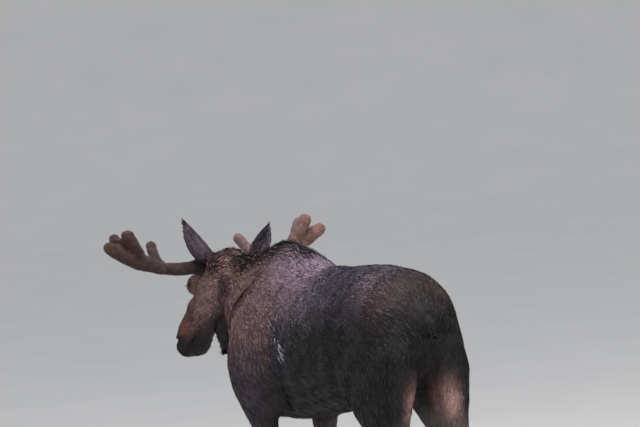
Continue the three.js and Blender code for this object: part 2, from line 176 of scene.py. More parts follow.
# %% Steps, bumps and ripples
def rise(x, low, high):
    """0 below low and 1 above high, with the smooth step t * t * (3 - 2 * t) between."""
    t = np.clip((x - low) / (high - low), 0, 1)
    return t * t * (3 - 2 * t)


def bump(x, width):
    """The bell curve exp(-(x / width)^2)."""
    return np.exp(-((x / width) ** 2))


def ripple(points, size, seed, waves=9):
    """Smooth noise of about -1 to 1: the mean of sines along random directions, size metres to a wave."""
    random = np.random.default_rng(seed)
    along = unit(random.normal(size=(waves, 3))) * (2 * np.pi / size) * random.uniform(0.6, 1.5, (waves, 1))
    phase = random.uniform(0, 2 * np.pi, waves)
    return np.sin(points @ along.T.astype(np.float32) + phase.astype(np.float32)).sum(1) * (1.6 / waves)


# %% [markdown]
# ## The animal's own directions
#
# The head is turned, tilted and pitched, so its features are easiest to place in a frame that moves with
# it: x to the animal's left, y backwards and z up from the crown. Points go into such a frame by a shift
# and a product with its axes. The eyes, which are solids of their own, say where the crown is.


# %% Frames of the head and the ears
def turned(axis, degrees):
    """The matrix that turns by degrees about an axis."""
    return np.array(Matrix.Rotation(np.radians(degrees), 3, axis))


def centre_of(node):
    """The middle of a solid's box."""
    return np.array(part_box(node)).mean(0)


def into(points, origin, axes):
    """Points as places in a frame with this origin, whose axes are the columns of a matrix."""
    return (points - origin) @ axes


def outof(places, origin, axes):
    """Places in a frame as points again."""
    return origin + places @ axes.T


sides = {"left": 1, "right": -1}
mirrors = {name: np.array([side, 1, 1]) for name, side in sides.items()}
middle_x = centre_of("tail")[0]
head_pitch, head_turn, head_tilt = 41, 4, 2.3  # degrees
eye_in_head = np.array([0.106, -0.274, -0.038])  # the left eye, from the crown
eye_radius = 0.021

crown_axes = turned("Z", head_turn) @ turned("Y", -head_tilt)
head_axes = crown_axes @ turned("X", head_pitch)
between_eyes = (centre_of("eye_left") + centre_of("eye_right")) / 2
crown = between_eyes - head_axes @ (eye_in_head * [0, 1, 1])

ear_length = 0.302
ear_base = np.array([0.075, 0.036, -0.092])  # the left ear's root, from the crown
ear_pivot = np.array([0.0, 0.03, 0.0])  # the middle of an ear's leaf, which a twist turns about
ear_twist = {"left": 0, "right": -72}  # degrees that the leaf is turned further about its own length
ear_set = {"left": (33, 12, 6), "right": (46, 6, 108)}  # degrees of lean outwards, lean back and opening
ear_frames = {}
for name, side in sides.items():
    lean, lean_back, opening = ear_set[name]
    axes = crown_axes @ turned("Y", side * lean) @ turned("X", lean_back) @ turned("Z", 180 + side * opening)
    ear_frames[name] = (crown + crown_axes @ (ear_base * mirrors[name]), axes)
print("crown at", np.round(crown, 3))

# %% [markdown]
# ## One skin
#
# The solids of flesh meet at thin cuts. Grown by a millimetre they overlap, and a voxel remesh then joins
# them into one even skin, as if the animal were cast in clay. Its facets are ironed out by moving each
# point towards the mean of its neighbours, again and again: many times on the broad trunk, a few times on
# the head and feet, where the forms are small.

# %% Grow, join and remesh the flesh
flesh = ["head", "lower_jaw", "neck", "trunk", "tail", "bell"]
flesh += [f"ear_{name}" for name in sides]
flesh += [f"leg_{end}_{name}" for end in ("front", "hind") for name in sides]
seam_growth = 0.0008  # enough for two neighbours to overlap across the cut between them
socket_growth = 0.001  # the eyeballs are joined in too, so that the skin closes over them
ear_growth = 0.0035  # the ears' thin walls are thickened for the remesh and thinned again after it
voxel = 0.0055


def grown_copy(node, growth):
    """A node's points, pushed out along their normals by growth metres, and its triangles."""
    merged = bmesh.new()
    merged.from_mesh(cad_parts[node].data)
    bmesh.ops.remove_doubles(merged, verts=merged.verts, dist=1e-5)
    mesh = bpy.data.meshes.new("copy")
    merged.to_mesh(mesh)
    merged.free()
    result = points_of(mesh) + normals_of(mesh) * growth, triangles_of(mesh)
    bpy.data.meshes.remove(mesh)
    return result


def joined(copies):
    """Several pairs of points and faces as one pair."""
    shifts = np.cumsum([0] + [len(points) for points, _ in copies[:-1]])
    points = np.concatenate([points for points, _ in copies])
    return points, np.concatenate([faces + shift for (_, faces), shift in zip(copies, shifts)])


def applied(piece):
    """A new mesh of an object as its modifiers leave it."""
    return bpy.data.meshes.new_from_object(piece.evaluated_get(bpy.context.evaluated_depsgraph_get()))


def remeshed(name, points, faces, size):
    """The closed shape as an even mesh of squares, size metres to a side."""
    rough = object_of(name, mesh_of(name, points, faces))
    modifier = rough.modifiers.new("voxels", "REMESH")
    modifier.mode = "VOXEL"
    modifier.voxel_size = size
    modifier.use_smooth_shade = True
    even = applied(rough)
    bpy.data.meshes.remove(rough.data)
    even.name = name
    return even


growths = {node: ear_growth if node.startswith("ear") else seam_growth for node in flesh}
growths |= {f"eye_{name}": socket_growth for name in sides}
body = joined([grown_copy(node, growth) for node, growth in growths.items()])
skin_mesh = remeshed("skin", *body, voxel)
print("skin", len(skin_mesh.vertices), "points")


# %% [markdown]
# Many steps ask which part of the body a point is on. The answers are soft: each region is a number from 0
# to 1 at every point, so that colours, lengths and directions run into each other with no edge.


# %% Regions of the body
def head_places(points):
    """Places in the head's frame."""
    return into(points, crown, head_axes)


def regions(points):
    """Shares from 0 to 1 of head, ear, bell, leg, neck and tail at each point: soft steps between planes."""
    x, y, z = points.T
    across = np.abs(x - middle_x)
    _, head_y, head_z = head_places(points).T
    ear = np.zeros(len(points), np.float32)
    for name in sides:
        ex, ey, ez = into(points, *ear_frames[name]).T
        inside = (np.abs(ex) < 0.085) & (ey > -0.04) & (ey < 0.12) & (ez < ear_length + 0.03)
        ear = np.maximum(ear, rise(ez, 0.02, 0.07) * inside)
    bell = (1 - rise(z, 1.40, 1.46)) * (1 - rise(y, -0.77, -0.74)) * (1 - rise(head_z, -0.31, -0.29))
    head = (1 - rise(head_y, -0.01, 0.05)) * rise(head_z, -0.325, -0.295) * (1 - ear)
    leg = np.maximum(1 - rise(z, 0.84, 0.90), (1 - rise(z, 0.86, 1.12)) * rise(across, 0.05, 0.12))
    ahead = -0.954 * (y + 0.404) + 0.3 * (z - 1.5)  # metres before the sloping plane where the neck begins
    neck = rise(ahead, -0.16, 0.12) * (1 - head) * (1 - ear) * (1 - bell)
    tail = rise(y, 1.19, 1.23) * rise(z, 1.36, 1.39) * (1 - rise(across, 0.03, 0.045))
    return {"head": head, "ear": ear, "bell": bell, "leg": leg, "neck": neck, "tail": tail}


def from_eye(points):
    """Metres from each point to the middle of the nearer eye."""
    h = head_places(points)
    return apart(np.column_stack([np.abs(h[:, 0]), h[:, 1:]]), eye_in_head)


def nape(points):
    """1 behind the ears, at the back of the head, falling to 0 in front of them."""
    return rise(head_places(points)[:, 1], -0.11, -0.02)


def top_line(points, step=0.02):
    """Height of the back, neck and crown at each point's y, from the highest point in each slice."""
    x, y, z = points.T
    near = np.abs(x - middle_x) < 0.05
    slices = np.round(y / step).astype(int)
    lowest = slices.min()
    tops = np.full(slices.max() - lowest + 1, -1.0)
    np.maximum.at(tops, slices[near] - lowest, z[near])
    known = np.flatnonzero(tops > 0)
    return (known + lowest) * step, tops[known]


def on_ear_of(name, points):
    """The points in an ear's own frame, and which of them belong to that ear."""
    e = into(points, *ear_frames[name])
    return e, (np.linalg.norm(e[:, :2] - ear_pivot[:2], axis=1) < 0.10) & (e[:, 2] > 0)


def twisted(points, name, degrees):
    """Turns an ear's leaf about its own length, by more degrees the further it is from the root."""
    e, own = on_ear_of(name, points)
    angle = np.radians(degrees) * rise(e[:, 2], 0.03, 0.13) * own
    x, y = (e - ear_pivot)[:, :2].T
    e[:, 0] = ear_pivot[0] + x * np.cos(angle) - y * np.sin(angle)
    e[:, 1] = ear_pivot[1] + x * np.sin(angle) + y * np.cos(angle)
    return outof(e, *ear_frames[name])


# %% Iron out the facets
def neighbours(mesh):
    """For each point its neighbours in one long list, where its own run starts, and how many it has."""
    ends = np.empty(len(mesh.edges) * 2, np.int32)
    mesh.edges.foreach_get("vertices", ends)
    ends = ends.reshape(-1, 2)
    pairs = np.concatenate([ends, ends[:, ::-1]])
    pairs = pairs[np.argsort(pairs[:, 0], kind="stable")]
    counts = np.bincount(pairs[:, 0], minlength=len(mesh.vertices))
    return pairs[:, 1], np.cumsum(counts) - counts, counts


def ironed(points, links, share, times):
    """Moves each point by its share of the way to the mean of its neighbours, times over."""
    to, starts, counts = links
    moving = np.flatnonzero(share > 0.01)
    counts = counts[moving]
    runs = np.cumsum(counts) - counts
    to = to[np.repeat(starts[moving] - runs, counts) + np.arange(counts.sum())]
    counts, share = counts[:, None].astype(np.float32), share[moving, None].astype(np.float32)
    points = points.copy()
    for _ in range(times):
        here = points[moving]
        points[moving] = here + share * (np.add.reduceat(points[to], runs) / counts - here)
    return points


def pressed(points, links, share, times):
    """Irons without shrinking: what the ironing took away is ironed too, and given back."""
    flat = ironed(points, links, share, times)
    return flat + ironed(points - flat, links, share, times)

# %% Iron the skin, and settle the ears
ear_stretch = 0.045  # the share by which an ear is longer than its solid, at its tip
skin = points_of(skin_mesh)
links = neighbours(skin_mesh)
part = regions(skin)
cheek = rise(head_places(skin)[:, 1], -0.24, -0.12) * (1 - part["ear"])
small = part["head"] * (1 - np.maximum(nape(skin), cheek))
small = np.maximum.reduce([small, part["ear"], part["bell"], part["tail"]])
slim = part["leg"] * (1 - rise(skin[:, 2], 0.80, 1.15))
skin = ironed(skin, links, 0.66 * (1 - small) * (1 - 0.88 * slim), times=110)
throat = rise(skin[:, 2], 0.95, 1.10) * (1 - rise(skin[:, 1], -0.10, 0.15))
skin = pressed(skin, links, 0.8 * (1 - small) * throat, times=300)
skin = ironed(skin, links, np.full(len(skin), 0.5), times=5)
skin = ironed(skin, links, 0.5 * (1 - part["ear"]), times=6)
skin = twisted(skin, "right", ear_twist["right"])
for name in sides:
    e, own = on_ear_of(name, skin)
    e[:, 2] *= 1 + ear_stretch * own * rise(e[:, 2], 0.03, 0.25)
    skin = outof(e, *ear_frames[name])
set_points(skin_mesh, skin)
ridge_y, ridge_z = top_line(skin)
print("ridge from", round(ridge_y[0], 2), "to", round(ridge_y[-1], 2))

# %% [markdown]
# The solids reach to the tips of the coat, so the skin sinks by the coat's depth: a few millimetres on the
# face and legs, more on the body, and most under the long hair of the hump and the mane. In a few places the
# flesh is fuller than its solids, and there it is raised again by soft mounds.


# %% Sink the skin by the depth of the coat
body_depth, short_depth = 0.011, 0.004  # metres of coat on the trunk, and on the face and lower legs
leaf_depth = 0.0012  # and on the ears


def under_ridge(points):
    """Metres from the top line of the back and neck down to each point."""
    return np.interp(points[:, 1], ridge_y, ridge_z) - points[:, 2]


def crest(points, width=0.07):
    """1 along the top line of the neck and hump, falling to 0 over width metres down the sides."""
    x, y, _ = points.T
    over = rise(y, crown[1] + 0.05, crown[1] + 0.14) * (1 - rise(y, 0.02, 0.16))
    return bump(np.hypot(x - middle_x, 0.6 * under_ridge(points)), width) * over


def coat_depth(points, part):
    """Metres from the skin to the tips of the coat."""
    depth = body_depth + 0.004 * part["neck"] + 0.006 * crest(points, 0.09)
    short = np.maximum(part["head"], part["leg"] * (1 - rise(points[:, 2], 0.8, 1.1)))
    depth = depth * (1 - short) + short_depth * short
    return depth * (1 - part["ear"]) + (ear_growth + leaf_depth) * part["ear"]


def fullness(points, part):
    """Metres by which the flesh is fuller than its solids: the sum of soft mounds, height * bell curve."""
    x, y, z = points.T
    across = np.abs(x - middle_x)
    jaw_gap = np.hypot(np.hypot(across - 0.12, y + 0.745), 0.6 * (z - 1.60))
    shoulder_point = np.hypot(y + 0.28, 0.8 * (z - 1.21))
    mounds = {
        "croup": (0.056, bump(np.hypot(y - 1.05, z - 1.64), 0.17) * (1 - part["tail"])),
        "behind the hump": (0.024, bump(y - 0.08, 0.13) * rise(z, 1.62, 1.78)),
        "behind the jaw": (0.014, bump(jaw_gap, 0.055)),
        "point of the shoulder": (0.022, bump(shoulder_point, 0.17) * rise(across, 0.16, 0.26)),
        "poll": (0.007, bump(np.hypot(0.55 * across, np.hypot(y + 0.73, z - 1.81)), 0.09)),
        "beside the poll": (0.018, bump(np.hypot(across - 0.085, np.hypot(y + 0.74, z - 1.79)), 0.055)),
        "top of the hump": (0.015, bump(np.hypot(across, y + 0.13), 0.09) * rise(z, 1.70, 1.78)),
    }
    return sum(height * mound for height, mound in mounds.values()) * (1 - part["ear"])


part = regions(skin)
rising = fullness(skin, part) - coat_depth(skin, part)
skin = ironed(skin + normals_of(skin_mesh) * rising[:, None], links, np.full(len(skin), 0.4), times=2)
set_points(skin_mesh, skin)
print("skin rises by", round(rising.min() * 1000), "to", round(rising.max() * 1000), "mm")

# %% [markdown]
# ## Eyes, lips and folds
#
# Small forms are pressed into the skin with formulas. Round each eye the skin is drawn onto a ball a little
# larger than the eyeball, which makes the lids, and inside an almond-shaped opening it is pushed behind the
# eyeball. Creases are grooves: a bell curve across a line, fading at its ends. In these formulas h is a place
# in the head's frame: x outwards from the middle, y backwards and z up from the crown.


# %% Finer faces where the small forms are
@contextmanager
def edited(mesh):
    """Opens a mesh for Blender's own mesh tools, and writes it back when they are done."""
    work = bmesh.new()
    work.from_mesh(mesh)
    yield work
    work.to_mesh(mesh)
    work.free()
    mesh.update()


def refined(mesh, near):
    """Cuts each face whose points are all marked near into four."""
    with edited(mesh) as work:
        edges = [e for e in work.edges if near[e.verts[0].index] and near[e.verts[1].index]]
        bmesh.ops.subdivide_edges(work, edges=edges, cuts=1, use_grid_fill=True)


def near_features(points, eye_reach, with_mouth=True):
    """Which points are within eye_reach metres of an eye, or on the nose and lips."""
    _, y, z = head_places(points).T
    at_mouth = (y < -0.43) & (z > -0.3) & (z < -0.04) & (y > -0.8)
    return (from_eye(points) < eye_reach) | (at_mouth & with_mouth)


refined(skin_mesh, near_features(points_of(skin_mesh), 0.065))
refined(skin_mesh, near_features(points_of(skin_mesh), 0.045, with_mouth=False))
skin_mesh.shade_smooth()
print("skin with finer head", len(skin_mesh.vertices), "points")

# %% Bones and lids
gaze = unit(np.array([0.93, -0.34, 0.14]))  # the way the eye looks, in the head's frame
slit = unit(np.cross(np.array([0.0, -0.13, 1.0]), gaze))
slit *= np.sign(slit[1])  # along the lids, from the nose side backwards
lid_up = np.cross(gaze, slit)
lid_up *= np.sign(lid_up[2])
half_slit = 0.0178  # half the length of the opening between the lids
upper_gap, lower_gap = 0.0125, 0.0100  # its height over and under the middle of the eye
lid_clearance = 0.0034  # from the eyeball's surface out to the lids'
socket_depth = 0.005  # from the eyeball's surface in to the skin behind it


def bones(h):
    """Metres by which bone stands out: a low mound round the eye, the ridge that runs from it up to the
    antler, the cheek bone, and the arched bridge of the nose."""
    orbit = 0.012 * bump(apart(h, eye_in_head), 0.070)
    ridge = 0.008 * bump(apart(h, [0.088, -0.215, -0.012], [1, 1.3, 1]), 0.045)
    cheek_bone = 0.010 * bump(apart(h, [0.100, -0.205, -0.055], [1, 1.5, 1.2]), 0.055)
    bridge = 0.023 * bump(h[:, 1] + 0.425, 0.072) * rise(h[:, 2], -0.150, -0.070)
    return (orbit + ridge + cheek_bone) * (h[:, 0] > 0.03) + bridge


def lidded(h):
    """The skin drawn onto a ball round the eyeball, in the line of sight and less and less further out. rho
    is 1 on the rim of the almond-shaped opening, and inside it the skin is pushed behind the eyeball. Also
    returns each point's places out, along and above as the eye sees them, and which points are on a lid."""
    q = h - eye_in_head
    reach = np.maximum(np.linalg.norm(q, axis=1), 1e-6)
    out, along, above = q @ gaze, q @ slit, q @ lid_up
    onto = eye_radius / reach
    rho = np.hypot(along * onto / half_slit, above * onto / np.where(above > 0, upper_gap, lower_gap))
    drawn = (1 - rise(np.hypot(along, above), 0.0215, 0.038)) * (out > -0.004) * (reach < 0.075)
    lid = eye_radius + lid_clearance + 0.0012 * bump(rho - 1.22, 0.16) - 0.0011 * bump(rho - 1.75, 0.18)
    target = np.where(rho < 1, eye_radius - socket_depth, lid)
    target = target + (lid - target) * rise(rho, 0.93, 1.06)
    h = eye_in_head + q * (1 + drawn * (target / reach - 1))[:, None]
    return h, (out, along, above, reach), (drawn > 0.5) & (rho < 1.3)


# %% Brow, nostrils, lips and cheeks
def brow_push(out, along, above, reach):
    """The brow stands over the eye, and a fold runs below it and down from its front corner."""
    near = bump(reach, 0.07)
    brow = 0.004 * bump(above - 0.036, 0.018) * bump(along - 0.004, 0.036) * near
    fold = 0.003 * bump(above + 0.036, 0.010) * bump(along, 0.030) * near
    front_line = above + 0.012 + 0.5 * (along + 0.026)
    front_fold = 0.0035 * bump(front_line, 0.005) * bump(along + 0.040, 0.014) * (out > 0)
    return brow + fold - front_fold


def nostril_push(h):
    """The pit of the solid's nostril is deepened, its upper rim raised, and the nose's end rounded."""
    nose = h - np.array([0.088, -0.660, -0.114])
    lean = np.radians(-25)
    ny = nose[:, 1] * np.cos(lean) + nose[:, 2] * np.sin(lean)
    nz = nose[:, 2] * np.cos(lean) - nose[:, 1] * np.sin(lean)
    pit = np.hypot(ny / 0.030, nz / 0.017)
    outer = rise(h[:, 0], 0.02, 0.045)
    rim = 0.0030 * bump(pit - 1.35, 0.35) * outer * rise(nz, -0.02, 0.012)
    nose_end = 0.010 * bump(apart(h, [0.075, -0.690, -0.165]), 0.045)
    return rim + nose_end - 0.010 * (1 - rise(pit, 0.5, 1.05)) * outer


def mouth_push(h):
    """A groove under the upper lip, and a lower lip that is drawn in behind it."""
    forward = -h[:, 1]
    line = -0.199 - 0.012 * rise(forward, 0.50, 0.63) + 0.016 * (1 - rise(forward, 0.44, 0.50))
    under = line - h[:, 2]
    groove = 0.0060 * bump(h[:, 2] - line, 0.0045)
    lower_lip = 0.0060 * rise(under, 0.0, 0.012) * (1 - 0.6 * rise(under, 0.02, 0.05))
    upper_lip = 0.0040 * bump(h[:, 2] - line - 0.014, 0.010)
    return (upper_lip - groove - lower_lip) * rise(forward, 0.45, 0.52)


def cheek_push(h):
    """The chewing muscle swells, the face narrows before it, and a groove runs up the nose."""
    _, y, z = h.T
    muscle = 0.008 * bump(y + 0.175, 0.075) * bump(z + 0.165, 0.06)
    narrowing = 0.006 * bump(y + 0.345, 0.05) * bump(z + 0.13, 0.05)
    groove = 0.004 * bump(z + 0.075 + 0.10 * (y + 0.40), 0.014) * bump(y + 0.43, 0.09)
    return muscle - narrowing - groove + 0.004 * bump(y + 0.560, 0.05) * bump(z + 0.075, 0.04)


# %% Shape the face
def eyes_and_lips(points, normals):
    """The skin with lids, nostrils, lips and the lines of the face. Both sides are worked out as the left."""
    h = head_places(points)
    mirror = np.column_stack([np.where(h[:, 0] < 0, -1.0, 1.0), np.ones(len(h)), np.ones(len(h))])
    h, n = h * mirror, (normals @ head_axes) * mirror
    h, sight, on_lid = lidded(h + n * bones(h)[:, None])
    push = brow_push(*sight) + nostril_push(h) + mouth_push(h) + cheek_push(h)
    push = push * (1 - rise(h[:, 1], -0.04, 0.02)) * (1 - 0.999 * on_lid)  # the lids stay as they are
    return outof((h + n * push[:, None]) * mirror, crown, head_axes)


skin = points_of(skin_mesh)
part = regions(skin)
on_head = (part["head"] > 0.01) & (part["ear"] < 0.3)
skin = np.where(on_head[:, None], eyes_and_lips(skin, normals_of(skin_mesh)), skin)
set_points(skin_mesh, skin)
print("face shaped at", on_head.sum(), "points")

# %% [markdown]
# Under a short coat the muscles show. A crease is given as places (y) at a few heights (z) down the side of
# the body, and is the same on both sides. Behind some creases the flesh swells a little.


# %% Folds of the shoulder, flank and thigh
def crease(points, heights, places):
    """How far each point is behind a crease's line, and a share that fades at the line's ends."""
    x, y, z = points.T
    fade = rise(z, heights[0], heights[0] + 0.08) * (1 - rise(z, heights[-1] - 0.08, heights[-1]))
    return y - np.interp(z, heights, places), fade * rise(np.abs(x - middle_x), 0.03, 0.10)


def creased(points, normals, heights, places, depth, width, swell):
    """Pushes in a groove, depth * exp(-((y - line(z)) / width)^2), and pushes out the flesh behind it."""
    off, fade = crease(points, heights, places)
    push = fade * (swell * bump(off - 2.2 * width, 2.0 * width) - depth * bump(off, width))
    return points + normals * push[:, None]


folds = {
    # name: heights, places, depth, width, swell behind
    "before the shoulder": (
        [1.10, 1.30, 1.40, 1.54, 1.67, 1.78], [-0.60, -0.62, -0.60, -0.48, -0.31, -0.19], 0.014, 0.042, 0.010,
    ),
    "behind the elbow": (
        [1.00, 1.15, 1.30, 1.42, 1.54, 1.66], [0.00, 0.05, 0.10, 0.10, 0.04, -0.06], 0.008, 0.045, -0.004,
    ),
    "flank": (
        [1.02, 1.20, 1.35, 1.45, 1.54, 1.84], [0.56, 0.64, 0.68, 0.695, 0.70, 0.70], 0.007, 0.046, 0.005,
    ),
    "back of the thigh": ([1.00, 1.20, 1.40, 1.55], [1.10, 1.13, 1.17, 1.15], 0.010, 0.022, 0.004),
}
for fold in folds.values():
    set_points(skin_mesh, creased(points_of(skin_mesh), normals_of(skin_mesh), *fold))
skin = points_of(skin_mesh)
part = regions(skin)
lumps = 0.0035 * ripple(skin, 0.22, 11) + 0.0015 * ripple(skin, 0.09, 12)
lumps = lumps * (1 - part["head"]) * (1 - part["ear"])
set_points(skin_mesh, skin + normals_of(skin_mesh) * lumps[:, None])
print("folds on each side:", ", ".join(folds))

# %% [markdown]
# Fine faces are only worth keeping where the form is fine. Blender's Decimate joins faces where that
# changes the shape least, and a vertex group tells it where to hold back.

# %% Thin out the faces
most_triangles = 185000
skin_object = object_of("skin", skin_mesh)
skin = points_of(skin_mesh)
part = regions(skin)
keep = np.maximum(0.55 * part["head"], 0.6 * part["ear"])
keep = np.maximum(keep, near_features(skin, 0.075))
freedom = np.round(1 - keep, 1)
group = skin_object.vertex_groups.new(name="thin")
for share in np.unique(freedom):
    group.add(np.flatnonzero(freedom == share).tolist(), float(share), "REPLACE")
thin = skin_object.modifiers.new("thin", "DECIMATE")
thin.ratio = min(1.0, most_triangles / len(triangles_of(skin_mesh)))
thin.vertex_group = "thin"
thin.vertex_group_factor = 4
skin_mesh = applied(skin_object)
skin_object.modifiers.clear()
skin_object.vertex_groups.clear()
skin_object.data = skin_mesh
skin_mesh.shade_smooth()
print("skin", len(triangles_of(skin_mesh)), "triangles")
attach(skin_object, "root")
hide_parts(*flesh)

# %% [markdown]
# ## Colours and marks
#
# One function gives the coat's colour at any point in space, so the skin and the hair over it always carry
# the same marks. It starts near black and lays browns over it, each with its own soft mask: warm on the
# shoulder and neck, greyer on the face, a painted mauve sheen from the sky along the back, pale on the lower
# legs. Painted shade darkens the bottoms of the folds and the hollow under the jaw.


# %% Laying colours over one another
def tint(code):
    """A colour code such as 8a7060 as the linear red, green and blue that lights and shaders work with."""
    level = np.array([int(code[i : i + 2], 16) for i in (0, 2, 4)]) / 255
    return np.where(level <= 0.04045, level / 12.92, ((level + 0.055) / 1.055) ** 2.4)


def laid(colour, over, share):
    """One colour laid over another by a share from 0 to 1 at each point."""
    return colour + np.asarray(share)[:, None] * (over - colour)


def layered(colour, *layers):
    """A colour, or one colour code for all points, with pairs of a colour code and its share laid over it."""
    if isinstance(colour, str):
        colour = np.tile(tint(colour), (len(layers[0][1]), 1))
    for code, share in layers:
        colour = laid(colour, tint(code), share)
    return colour


# %% Colours of the trunk, neck and legs
edge_wander = 0.07  # metres by which the edges of the marks stray where the coat is patchy


def trunk_colour(points, patchy):
    """Near black, with a painted mauve sheen from the sky along the upper side and back, a brown shoulder and
    a pale inner thigh, and painted shade in the folds.
    """
    x, y, z = points.T
    wander = edge_wander * patchy
    below, across = under_ridge(points), np.abs(x - middle_x)
    shoulder = 1 - rise(y + wander - 0.6 * (z - 1.42), -0.02, 0.26)
    behind = bump(y - 0.10 + 0.25 * (z - 1.42), 0.09) * rise(across, 0.15, 0.22)
    escutcheon = bump(y - 1.20, 0.10) * bump(z - 1.06, 0.10) * (1 - rise(across, 0.10, 0.20))
    colour = layered(
        "1f1d1e",
        # Painted sheen: the upper side is lighter and mauve, as where the sky lights it.
        ("392e38", rise(z + wander, 1.42, 1.62) * (1 - rise(y + wander, 0.85, 1.20))),  # upper side
        # Painted reflection: the top of the back is tinted bluish, as the sky reflects in it.
        ("26212f", 0.9 * bump(y - 0.42, 0.36) * bump(below, 0.16)),  # top of the back
        ("3d2b25", 0.8 * bump(y - 1.04, 0.11) * bump(z - 1.62, 0.10)),  # rump
        ("3c333a", shoulder),
        ("543f43", shoulder * rise(z + wander, 1.24, 1.50)),
        # The side of the hump is brown, lightened further by painted sheen from the sky.
        ("624b51", bump(y + 0.02, 0.26) * bump(below - 0.12, 0.11)),  # side of the hump
        ("2b2734", 0.85 * behind * bump(z - 1.40, 0.20)),  # behind the shoulder
        ("bd938a", 0.85 * escutcheon),
    )
    # Painted shade: the bottom of each fold is darkened, as if always in shade.
    for heights, places, _, width, _ in folds.values():
        off, fade = crease(points, heights, places)
        colour = colour * (1 - 0.55 * fade * bump(off, 0.5 * width))[:, None]
    return colour


def neck_over(colour, points, part, patchy):
    """A brown neck, darker below, and a black mane along its top that runs up to the ears."""
    x, y, z = points.T
    wander = edge_wander * patchy
    on_neck = rise(y, crown[1] + 0.02, crown[1] + 0.10) * (1 - rise(y, -0.22, 0.02))
    down = under_ridge(points) + 0.2 * np.abs(x - middle_x) + wander
    return layered(
        colour,
        ("58454a", 0.9 * part["neck"]),
        ("403335", part["neck"] * (1 - rise(z + 0.5 * y + wander, 1.10, 1.24))),  # throat
        ("171315", 0.92 * crest(points, 0.070 + 0.02 * patchy)),
        ("1b1618", 0.90 * on_neck * (1 - rise(down, 0.04, 0.13))),
    )


def legs_over(colour, points, part, patchy):
    """A dark bell, and legs that are pale from above the knee and hock down, and higher on the inside."""
    x, y, z = points.T
    across = np.abs(x - middle_x)
    inner = (1 - rise(across, 0.06, 0.14)) * rise(y, 0.70, 0.90)
    dark_above = rise(z + edge_wander * patchy - 0.16 * inner - 0.10 * rise(y, 1.05, 1.2), 0.66, 0.96)
    return layered(
        colour,
        ("2f292b", 0.9 * part["bell"]),
        ("8b807c", (1 - dark_above) * (z < 1.25)),
        ("6b5f5c", 0.6 * bump(z - 0.46, 0.10) * bump(across - 0.16, 0.2) * (y < 0.2)),  # knees
        ("4a4241", 1 - rise(z, 0.10, 0.17)),  # hair line of the hooves
    )


# %% Colours of the face and ears
def face_colour(points, patchy):
    """Brown, with a rusty patch over the nostril, a black muzzle, jaw and lids, and painted shadow in the
    hollow under the jaw.
    """
    x, y, z = head_places(points).T
    x, forward, wander = np.abs(x), -y, edge_wander * patchy
    near_eye = from_eye(points)
    chin = rise(forward, 0.40, 0.54) * (1 - rise(z + 0.6 * wander, -0.212, -0.168))
    lips = rise(forward + 0.55 * (-0.16 - z) + wander, 0.560, 0.620)
    nose_groove = bump(z + 0.085 + 0.25 * (y + 0.35), 0.022) * bump(y + 0.40, 0.10)
    poll = rise(y + wander, -0.15, -0.05) * rise(z + wander, -0.12, -0.05) * bump(x, 0.075)
    mottle = 1 + 0.30 * ripple(points, 0.045, 26) + 0.15 * ripple(points, 0.02, 27)
    return layered(
        tint("5c4446") * mottle[:, None],
        ("3f2e30", bump(x, 0.055) * rise(forward, 0.10, 0.30)),  # bridge of the nose
        ("432f2d", 0.75 * rise(forward + wander, 0.38, 0.48)),
        ("33282b", 0.7 * nose_groove),
        ("704631", 0.85 * bump(y + 0.560, 0.050) * bump(z + 0.105, 0.040)),  # rust over the nostril
        ("2a2726", np.maximum(chin, lips)),
        # Painted shadow in the hollow under the jaw, between the jaw and the throat.
        ("2d2627", 0.85 * (1 - rise(z, -0.255, -0.190)) * bump(y + 0.36, 0.13)),  # under the jaw
        ("3b2d2c", 0.5 * (1 - rise(near_eye + 0.1 * wander, 0.030, 0.055))),
        ("141011", 1 - rise(near_eye, 0.0245, 0.0290)),  # lids
        ("1d181a", 0.9 * poll),
    )


leaf_heights = [0, 0.3, 0.46, 0.65, 0.82, 0.94, 1]  # shares of the ear's length
leaf_halves = [0.034, 0.054, 0.060, 0.052, 0.034, 0.014, 0.006]  # half the leaf's width there, in metres


def ear_colour(points, name, patchy):
    """Mauve-brown backs, dark rims, tips and hollows. Also returns which points belong to the ear."""
    e, own = on_ear_of(name, twisted(points, name, -ear_twist[name]))
    ex, ey, ez = e.T
    up = ez / ear_length
    half = np.interp(up, leaf_heights, leaf_halves)
    hollow = 1 - rise(np.hypot(ex, ey - half - 0.005) / half, 0.80, 0.93)
    hollow = hollow * (1 - 0.9 * rise(ex, 0.004, 0.018) * (name == "right"))  # its inner half is paler
    dark = np.maximum.reduce([rise(ey / half, 0.75, 1.05), hollow, rise(up, 0.84, 0.97)])
    root = 0.8 * (1 - rise(up + 0.5 * (edge_wander * patchy), 0.22, 0.42))
    return layered("544750", ("2b2328", root), ("171314", dark)), own


def ear_root(points):
    """1 in the dark hair below and inside the root of each ear."""
    x, y, z = (points - crown).T
    from_crown = np.column_stack([np.abs(x), y, z])
    return bump(apart(from_crown, [0.100, 0.030, -0.080], [0.048, 0.060, 0.070]), 1.0)


def coat_colour(points, part):
    """The colour at each point: near black, with tints laid over it by masks made of steps and bumps."""
    patchy = 0.5 * ripple(points, 0.34, 21) + 0.5 * ripple(points, 0.11, 22)
    colour = neck_over(trunk_colour(points, patchy), points, part, patchy)
    colour = laid(colour, face_colour(points, patchy), part["head"])
    for name in sides:
        leaf, own = ear_colour(points, name, patchy)
        colour = laid(colour, leaf, part["ear"] * own)
    colour = laid(colour, tint("1b1618"), 0.95 * ear_root(points) * (1 - part["ear"]))
    colour = legs_over(colour, points, part, patchy)
    return np.clip(colour * (1 + 0.20 * patchy)[:, None], 0.002, 1)


